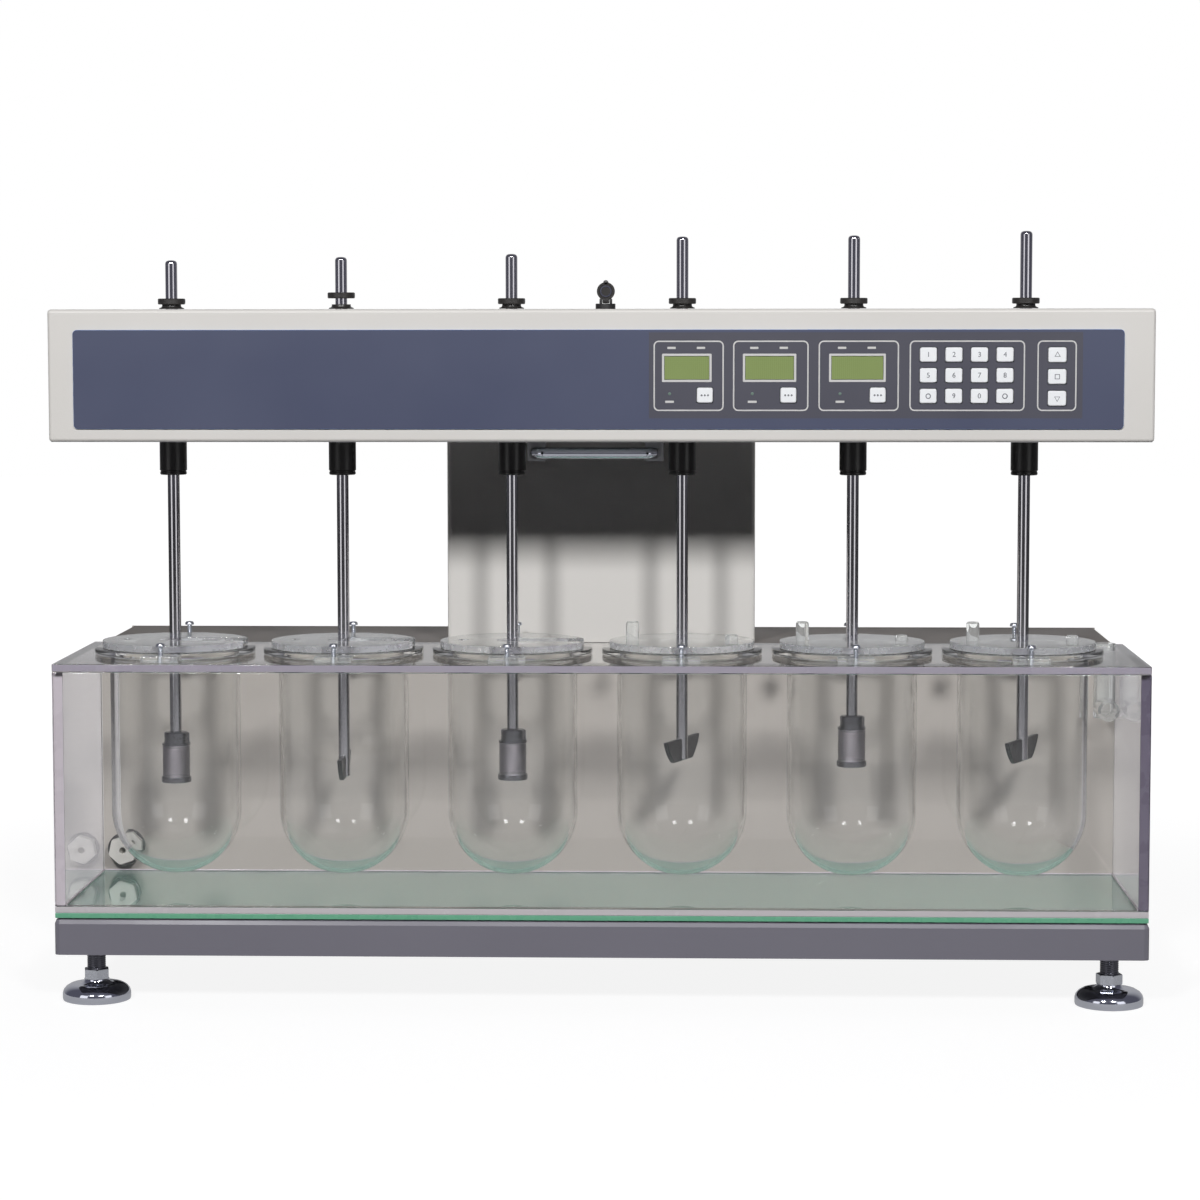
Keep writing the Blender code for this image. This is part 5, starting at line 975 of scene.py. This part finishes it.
# %% [markdown]
# Each station has a ground steel shaft that can be set higher or lower, so its end stands above
# the head. A black hub and a stop collar with a small thumb screw hold it on top, and inside the
# head it wears a spindle with a belt pulley.
# %% shafts
for number, (x, y) in enumerate(stations, start=1):
    node = "shaft_%d" % number
    low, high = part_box(node)
    is_basket = number % 2 == 1
    rod_bottom = low.z + 0.0434 if is_basket else low.z + 0.001
    end = high.z
    rod_shape = lathe([(0, rod_bottom), (0.0046, rod_bottom), (0.005, rod_bottom + 0.0005),
                       (0.005, end - 0.0030), (0.0047, end - 0.0017), (0.0038, end - 0.0006),
                       (0.0020, end - 0.0001), (0, end)], 48)
    piece(node + "_rod", shift(rod_shape, x, y, 0), ground_steel, node, [node], crease=60)
    spindle = lathe([(0.0051, 0.4395), (0.0079, 0.4395), (0.0079, 0.5532), (0.0245, 0.5532),
                     (0.0245, 0.5546), (0.022, 0.5546), (0.022, 0.565), (0.0079, 0.565),
                     (0.0079, head_top - 0.0005), (0.0051, head_top - 0.0005)], 48, closed=True)
    piece(node + "_spindle", shift(spindle, x, y, 0), blade_steel, node, [node], crease=30)
    lift = 0.005 if number == 2 else 0
    hub = lathe([(0.0052, head_top + 0.0005), (0.0105, head_top + 0.0005), (0.0105, head_top + 0.0012),
                 (0.0085, head_top + 0.0020), (0.0080, head_top + 0.0030), (0.0080, head_top + 0.0043),
                 (0.0052, head_top + 0.0043)], 48, closed=True)
    level = head_top + 0.0043 + lift
    collar = lathe([(0.0052, level), (0.0108, level), (0.0115, level + 0.0006), (0.0115, level + 0.0044),
                    (0.0108, level + 0.005), (0.0052, level + 0.005)], 56, closed=True)
    screw = lathe([(0, 0.0085), (0.0019, 0.0085), (0.0022, 0.0088), (0.0022, 0.0113), (0.0019, 0.0115),
                   (0, 0.0115)], 20)
    screw = shift(turn(turn(screw, 90, "Y"), 20, "Z"), 0, 0, level + 0.0025)
    piece(node + "_collar", shift(join(hub, collar, screw), x, y, 0), black_nylon, node,
          [node])
print("shafts", [n for n in made if n.endswith("_rod")])

# %% [markdown]
# Three shafts end in a basket: a drum of fine wire mesh with a chrome rim below and a chrome cap
# above, held by three spring clips. Weaving the wires as geometry would cost millions of faces.
# The drum is a thin shell instead, with an unwrapped map in metres, and the weave is a pattern on
# that map which cuts the holes between the wires.
# %% wire mesh finish
wire_weave, start, end = new_group(
    "wire_weave", [("Vector", "Vector", (0, 0, 0)), ("Pitch", "Float", 0.001), ("Wire", "Float", 0.4)],
    [("Mask", "Float"), ("Height", "Float")])
axes = add(wire_weave, "SeparateXYZ", {0: start.outputs["Vector"]})
humps = []
for label in ("X", "Y"):
    turns = maths(wire_weave, "DIVIDE", axes.outputs[label], start.outputs["Pitch"])
    away = maths(wire_weave, "PINGPONG", turns, 0.5)
    half = maths(wire_weave, "MULTIPLY", start.outputs["Wire"], 0.5)
    humps.append((maths(wire_weave, "LESS_THAN", away, half), away))
mask = maths(wire_weave, "MAXIMUM", humps[0][0], humps[1][0])
wire_weave.links.new(mask, end.inputs["Mask"])
closest = maths(wire_weave, "MINIMUM", humps[0][1], humps[1][1])
wire_weave.links.new(maths(wire_weave, "SUBTRACT", 1, closest), end.inputs["Height"])

mesh_wire = new_finish("mesh_wire", (0.28, 0.26, 0.28), depth=0.12, cloud=120, shiny=0.3, dull=0.45,
                       patches=90, metallic=1)
tree = mesh_wire.node_tree
weave = add(tree, "Group", {"Pitch": 0.0009, "Wire": 0.5, "Vector": add(tree, "TexCoord").outputs["UV"]},
            node_tree=wire_weave)
tree.links.new(weave.outputs["Mask"], tree.nodes["Principled BSDF"].inputs["Alpha"])
bump = tree.nodes["Bump"]
bump.inputs["Distance"].default_value = 0.0002
tree.links.new(weave.outputs["Height"], bump.inputs["Height"])
print("weave pitch 0.9 mm, half of it wire")

# %% [markdown]
# The other three shafts end in a paddle: a flat blade that is a slice of a circle, cut off
# straight at the top and bottom and welded across the shaft. A disc is cut by two planes and
# given its thickness.
# %% baskets and paddles
def drum_map(bm, radius):
    """Unwraps a drum: around in X and up in Y, both in metres."""
    layer = bm.loops.layers.uv.new("drum")
    for face in bm.faces:
        middle = face.calc_center_median()
        base = atan2(middle.y, middle.x)
        for loop in face.loops:
            angle = atan2(loop.vert.co.y, loop.vert.co.x)
            while angle - base > pi:
                angle -= 2 * pi
            while angle - base < -pi:
                angle += 2 * pi
            if abs(face.normal.z) > 0.7:
                loop[layer].uv = (loop.vert.co.x, loop.vert.co.y)
            else:
                loop[layer].uv = (angle * radius, loop.vert.co.z)
    return bm


def paddle(top_chord, bottom_chord, height, thickness, radius=0.0415):
    bm = bmesh.new()
    bmesh.ops.create_circle(bm, cap_ends=True, segments=128, radius=radius)
    drop_low = -(radius ** 2 - (bottom_chord / 2) ** 2) ** 0.5
    bmesh.ops.bisect_plane(bm, geom=bm.verts[:] + bm.edges[:] + bm.faces[:], plane_co=(0, drop_low, 0),
                           plane_no=(0, -1, 0), clear_outer=True)
    bmesh.ops.bisect_plane(bm, geom=bm.verts[:] + bm.edges[:] + bm.faces[:],
                           plane_co=(0, drop_low + height, 0), plane_no=(0, 1, 0), clear_outer=True)
    edges = [e for e in bm.edges if e.is_boundary]
    bmesh.ops.delete(bm, geom=bm.faces[:], context="FACES_ONLY")
    bmesh.ops.contextual_create(bm, geom=edges)
    grown = bmesh.ops.extrude_face_region(bm, geom=bm.faces[:])
    bmesh.ops.translate(bm, vec=(0, 0, thickness),
                        verts=[v for v in grown["geom"] if isinstance(v, bmesh.types.BMVert)])
    bmesh.ops.translate(bm, vec=(0, -drop_low, -thickness / 2), verts=bm.verts)
    bmesh.ops.recalc_face_normals(bm, faces=bm.faces)
    widest = max(v.co.x for v in bm.verts)
    bmesh.ops.scale(bm, vec=(top_chord / 2 / widest, 1, 1), verts=bm.verts)
    return turn(round_edges(bm, 0.0006, 2, sharper=60), 90, "X")


for number, (x, y) in enumerate(stations, start=1):
    node = "shaft_%d" % number
    low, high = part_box(node)
    if number % 2:
        foot = low.z
        rim = lathe([(0.0112, foot), (0.0122, foot), (0.0126, foot + 0.0006), (0.0126, foot + 0.0042),
                     (0.0122, foot + 0.0048), (0.0112, foot + 0.0048)], 56, closed=True)
        drum = lathe([(0, foot + 0.0012), (0.0112, foot + 0.0012), (0.0115, foot + 0.0048),
                      (0.0115, foot + 0.0330)], 72)
        bmesh.ops.recalc_face_normals(drum, faces=drum.faces)
        drum_map(drum, 0.0115)
        top = foot + 0.0434
        cap = lathe([(0.0050, top - 0.0138), (0.0096, top - 0.0138), (0.0096, top - 0.0110),
                     (0.0100, top - 0.0104), (0.0100, top - 0.0066), (0.0097, top - 0.0062),
                     (0.0097, top - 0.0056), (0.0100, top - 0.0052), (0.0100, top - 0.0012),
                     (0.0092, top - 0.0003), (0.0060, top), (0.0050, top)], 56, closed=True)
        lip = sleeve(0.0105, 0.0119, foot + 0.0318, foot + 0.0334, 56)
        clips = []
        for corner in (20, 140, 260):
            clip = block((0.0101, -0.0016, top - 0.0100), (0.0112, 0.0016, top - 0.0014))
            knob = block((0.0108, -0.0016, top - 0.0120), (0.0122, 0.0016, top - 0.0098))
            clip = join(round_edges(clip, 0.0003, 2), round_edges(knob, 0.0005, 2))
            clips.append(turn(clip, corner, "Z"))
        piece(node + "_basket_mesh", shift(drum, x, y, 0), mesh_wire, node, [node], crease=50)
        for name, bm in (("_basket_rim", join(rim, lip)), ("_basket_cap", join(cap, *clips))):
            piece(node + name, shift(bm, x, y, 0), basket_steel, node, [node])
    else:
        angle = {2: 90, 4: 69, 6: 65}[number]
        blade = turn(paddle(0.0745, 0.042, 0.019, 0.004), angle, "Z")
        piece(node + "_paddle", shift(blade, x, y, low.z), paddle_steel, node, [node],
              crease=40)
print("tools", [n for n in made if "basket" in n or "paddle" in n])

# %% [markdown]
# The control panel is a slate-blue film on a thin plate. The area round the controls is printed a
# little darker, which a mask on object coordinates does: inside a rectangle in X and Z the tint
# changes. The film's cut edge takes a lighter blue, a painted highlight.
# %% panel finish
panel_film = new_finish("panel_film", chart(73, 79, 105), depth=0.06, cloud=30, shiny=0.36,
                        dull=0.46, grain=1300, relief=0.00002)
tree = panel_film.node_tree
place = add(tree, "TexCoord").outputs["Object"]
axes = add(tree, "SeparateXYZ", {0: place})
inside = [maths(tree, "COMPARE", axes.outputs[label], centre, half)
          for label, centre, half in (("X", 0.2170, 0.1760), ("Z", 0.5245, 0.0350))]
print_tint = effect(tree, uneven_tint, place, Scale=40, Tint=(*chart(76, 76, 88), 1), Depth=0.08)
colour_in = tree.nodes["Principled BSDF"].inputs["Base Color"]
printed = add(tree, "Mix", {"Factor": maths(tree, "MULTIPLY", *inside),
                            "A": colour_in.links[0].from_socket, "B": print_tint}, data_type="RGBA")
tree.links.new(printed.outputs["Result"], colour_in)
# Painted highlight: the cut edge of the film is a lighter blue.
film_edge = new_finish("film_edge", chart(128, 160, 214), depth=0.06, shiny=0.3, dull=0.4)
print("panel film with a printed area")

# %% [markdown]
# The plate has a window for each display and a hole for each key. They are placed from the nodes
# behind them, so they always line up. Thin printed frames and white window bezels lie on the
# film; each is a flat ring with rounded corners, made by insetting a rounded rectangle.
# %% panel plate
panel_low, panel_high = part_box("control_panel")
keys = [n for n in frame["nodes"] if n.startswith("key_")]
windows = [(0.0719, 0.0364), (0.1392, 0.0394), (0.2105, 0.0420)]
window_low, window_high = 0.5306 - 0.019 / 2, 0.5306 + 0.019 / 2
loose = 0.0004
panel = round_edges(block(panel_low, panel_high), 0.0035, 6, along="Y")
round_edges(panel, 0.00025, 1, sharper=60, pick=lambda m: m.y < panel_low.y + 1e-5)
edges_take(panel, 1, lambda n: abs(n.y) < 0.9)
cutters = [block((x - w / 2 - loose, panel_low.y - 0.01, window_low - loose),
                 (x + w / 2 + loose, panel_high.y + 0.01, window_high + loose))
           for x, w in windows]
for name in keys:
    low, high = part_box(name)
    cutters.append(round_edges(block((low.x - loose, panel_low.y - 0.01, low.z - loose),
                                     (high.x + loose, panel_high.y + 0.01, high.z + loose)),
                               0.0016, 3, along="Y"))
panel = combine(panel, join(*cutters))
piece("control_panel_plate", panel, [panel_film, film_edge], "head", ["control_panel"],
      crease=20)


def flat_ring(left, right, bottom, top, width, corner, front, thickness):
    """A thin rounded frame that faces the front."""
    outer = round_edges(block((left, front, bottom), (right, front + thickness, top)), corner, 6,
                        along="Y")
    inner = round_edges(block((left + width, front - 0.001, bottom + width),
                              (right - width, front + thickness + 0.001, top - width)),
                        max(corner - width, 0.0002), 6, along="Y")
    return combine(outer, inner)


ink = new_finish("frame_ink", chart(214, 213, 212), depth=0.06, cloud=60, shiny=0.35, dull=0.5)
frames = [(0.0448, 0.1020), (0.1095, 0.1709), (0.1790, 0.2442), (0.2528, 0.3462), (0.3562, 0.3880)]
ink_front = panel_low.y - 0.0001
rings = [flat_ring(a, b, 0.4955, 0.5527, 0.0011, 0.0042, ink_front, 0.00009) for a, b in frames]
rim = 0.0020
rings += [flat_ring(x - w / 2 - rim, x + w / 2 + rim, window_low - rim, window_high + rim, 0.0018,
                    0.0008, ink_front - 0.0002, 0.00028) for x, w in windows]
piece("panel_frames", join(*rings), ink, "head", ["control_panel"])
print("windows", len(windows), "keys", len(keys), "frames", len(frames))

# %% [markdown]
# Where the real panel has small words, this one has short plain bars, and each display gets a
# small round indicator below it. Small marks like these are enough to say that there is printing.
# %% small marks
marks = []
for centre, _ in windows:
    for mark_x, mark_z, half in ((centre - 0.0125, 0.5468, 0.0034), (centre + 0.0115, 0.5468, 0.0034),
                                 (centre - 0.0140, 0.5030, 0.0036)):
        marks.append(round_edges(block((mark_x - half, ink_front, mark_z - 0.0009),
                                       (mark_x + half, ink_front + 0.00009, mark_z + 0.0009)),
                                 0.0004, 2, along="Y"))
piece("panel_bars", join(*marks), ink, "head", ["control_panel"])
lens = new_finish("indicator_lens", chart(120, 140, 132), shiny=0.1, dull=0.2, depth=0.2, cloud=300)
dots = []
for centre, _ in windows:
    dot = lathe([(0, 0.0005), (0.0009, 0.0004), (0.0013, 0), (0, 0)], 24)
    dots.append(shift(turn(dot, 90, "X"), centre - 0.0140, panel_low.y, 0.5095))
piece("panel_indicators", join(*dots), lens, "head", ["control_panel"])
print("marks", len(marks), "indicators", len(dots))

# %% [markdown]
# A liquid crystal display is a grey-green glass with very faint cells. The board behind carries
# the three display modules, which stand in the windows.
# %% displays
lcd_green = new_finish("lcd_green", chart(140, 157, 98), depth=0.10, cloud=60, shiny=0.14,
                       dull=0.22, patches=50, grain=500, relief=0.00001)
tree = lcd_green.node_tree
axes = add(tree, "SeparateXYZ", {0: add(tree, "TexCoord").outputs["Object"]})
upright = add(tree, "CombineXYZ", {"X": axes.outputs["X"], "Y": axes.outputs["Z"]})
cells = add(tree, "Group", {"Pitch": 0.0016, "Wire": 0.18, "Vector": upright.outputs[0]},
            node_tree=wire_weave)
colour_in = tree.nodes["Principled BSDF"].inputs["Base Color"]
grid = add(tree, "Mix", {"Factor": cells.outputs["Mask"], "A": colour_in.links[0].from_socket,
                         "B": (*chart(148, 165, 108), 1)}, data_type="RGBA")
tree.links.new(grid.outputs["Result"], colour_in)
circuit_green = new_finish("circuit_green", chart(40, 92, 62), depth=0.3, cloud=120, shiny=0.3,
                           dull=0.5)
board_low, board_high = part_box("display_board")
board = block((board_low.x, board_high.y - 0.0016, board_low.z), board_high)
piece("circuit_board", round_edges(board, 0.0003, 1), circuit_green, "head",
      ["display_board"])
modules = [round_edges(block((x - w / 2, panel_low.y + 0.0006, window_low),
                             (x + w / 2, board_high.y - 0.0017, window_high)), 0.0004, 2)
           for x, w in windows]
piece("display_modules", join(*modules), lcd_green, "head", ["display_board"])
print("display modules", len(modules))

# %% [markdown]
# The keys are soft moulded caps with well rounded fronts. The number keys carry plain digits, the
# right-hand column an up arrow, a square and a down arrow, and the others a plain ring or dot.
# A digit is made as text, turned into a mesh and then laid on the key's face.
# %% keys
key_plastic = new_finish("key_plastic", chart(250, 252, 255), depth=0.05, cloud=90, shiny=0.38,
                         dull=0.5, patches=120, grain=1600, relief=0.00001)
legend_ink = new_finish("legend_ink", chart(112, 114, 122), depth=0.1, cloud=200, shiny=0.4,
                        dull=0.55)


ink_depth = 0.0002


def digit(text, size):
    curve = bpy.data.curves.new("digit", "FONT")
    curve.body = text
    curve.size = size
    curve.extrude = ink_depth / 2
    curve.align_x = "CENTER"
    curve.align_y = "CENTER"
    return turn(bmesh_of(curve), 90, "X")


def outline_mark(corners, radius, width=0.0007):
    """A ring with a few corners: three for an arrow, four for a square, many for a circle."""
    return turn(sleeve(radius - width, radius, -ink_depth / 2, ink_depth / 2, corners), 90, "X")


for name in keys:
    low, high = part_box(name)
    x, z = (low.x + high.x) / 2, (low.z + high.z) / 2
    cap = round_edges(block(low, high), 0.0018, 4, along="Y")
    round_edges(cap, 0.0011, 3, sharper=50, pick=lambda m: m.y < low.y + 1e-5)
    piece(name + "_cap", cap, key_plastic, name, [name], crease=60)
    tail = name[4:]
    if tail.isdigit():
        legend = digit(tail, 0.0058)
    elif tail in ("up", "down"):
        legend = turn(outline_mark(3, 0.0028), 90 if tail == "down" else -90, "Y")
    elif tail == "stop":
        legend = turn(outline_mark(4, 0.0029), 45, "Y")
    elif tail in ("start", "set"):
        legend = outline_mark(24, 0.0022)
    else:
        legend = join(*[shift(outline_mark(12, 0.0008), step * 0.0026, 0, 0) for step in (-1, 0, 1)])
    legend = shift(legend, x, low.y - 0.0001, z)
    piece(name + "_legend", legend, legend_ink, name, [name])
print("keys", len(keys))

# %% [markdown]
# The instrument stands on a plain pale floor that keeps its shadow. Near the object the floor is
# lit as a surface; for camera rays a little light of its own is added, more of it further away,
# so that it runs out into the white backdrop without a line. Mirror rays see the near floor only,
# so the feet and the handle catch it and the upright rods don't. Diffuse rays see a darker floor,
# or it would throw too much light up under the head and wash out the shadow on the column.
# %% floor
floor_mesh = bpy.data.meshes.new("studio_floor")
bm = bmesh.new()
bmesh.ops.create_grid(bm, x_segments=1, y_segments=1, size=9)
bm.to_mesh(floor_mesh)
bm.free()
studio_floor = bpy.data.objects.new("studio_floor", floor_mesh)
scene.collection.objects.link(studio_floor)
floor_finish = bpy.data.materials.new("studio_floor")
floor_finish.use_nodes = True
tree = floor_finish.node_tree
floor_tint = add(tree, "Mix", {"Factor": ray_kinds(tree, "Is Diffuse Ray"), "A": (0.16, 0.16, 0.165, 1),
                               "B": (0.03, 0.03, 0.031, 1)}, data_type="RGBA")
surface = tree.nodes["Principled BSDF"]
tree.links.new(floor_tint.outputs["Result"], surface.inputs["Base Color"])
surface.inputs["Roughness"].default_value = 0.9
surface.inputs["Specular IOR Level"].default_value = 0.1
distance = add(tree, "VectorMath", {0: add(tree, "TexCoord").outputs["Object"]}, operation="LENGTH")


def ramp(near, far, near_value, far_value):
    """A value that changes smoothly with the distance from the object's middle."""
    return add(tree, "MapRange", {"Value": distance.outputs["Value"], "From Min": near, "From Max": far,
                                  "To Min": near_value, "To Max": far_value},
               interpolation_type="SMOOTHSTEP").outputs["Result"]


direct_glow = maths(tree, "MULTIPLY", ramp(0.6, 1.8, 0.89, 1.0), first_sight(tree))
mirror_glow = maths(tree, "MULTIPLY", ramp(1.2, 2.4, 0.32, 0.03), ray_kinds(tree, "Is Glossy Ray"))
mirror_glow = maths(tree, "MULTIPLY", mirror_glow, bounced(tree, "Diffuse Depth", False))
glow = add(tree, "Emission", {"Strength": maths(tree, "MAXIMUM", direct_glow, mirror_glow)})
total = add(tree, "AddShader", {0: surface.outputs[0], 1: glow.outputs[0]})
tree.links.new(total.outputs[0], tree.nodes["Material Output"].inputs["Surface"])
floor_mesh.materials.append(floor_finish)
print("floor ready")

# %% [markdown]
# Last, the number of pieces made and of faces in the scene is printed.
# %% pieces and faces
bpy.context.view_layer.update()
faces = sum(len(o.data.polygons) for o in bpy.data.objects if o.type == "MESH")
print("pieces", len(made), "faces", faces)
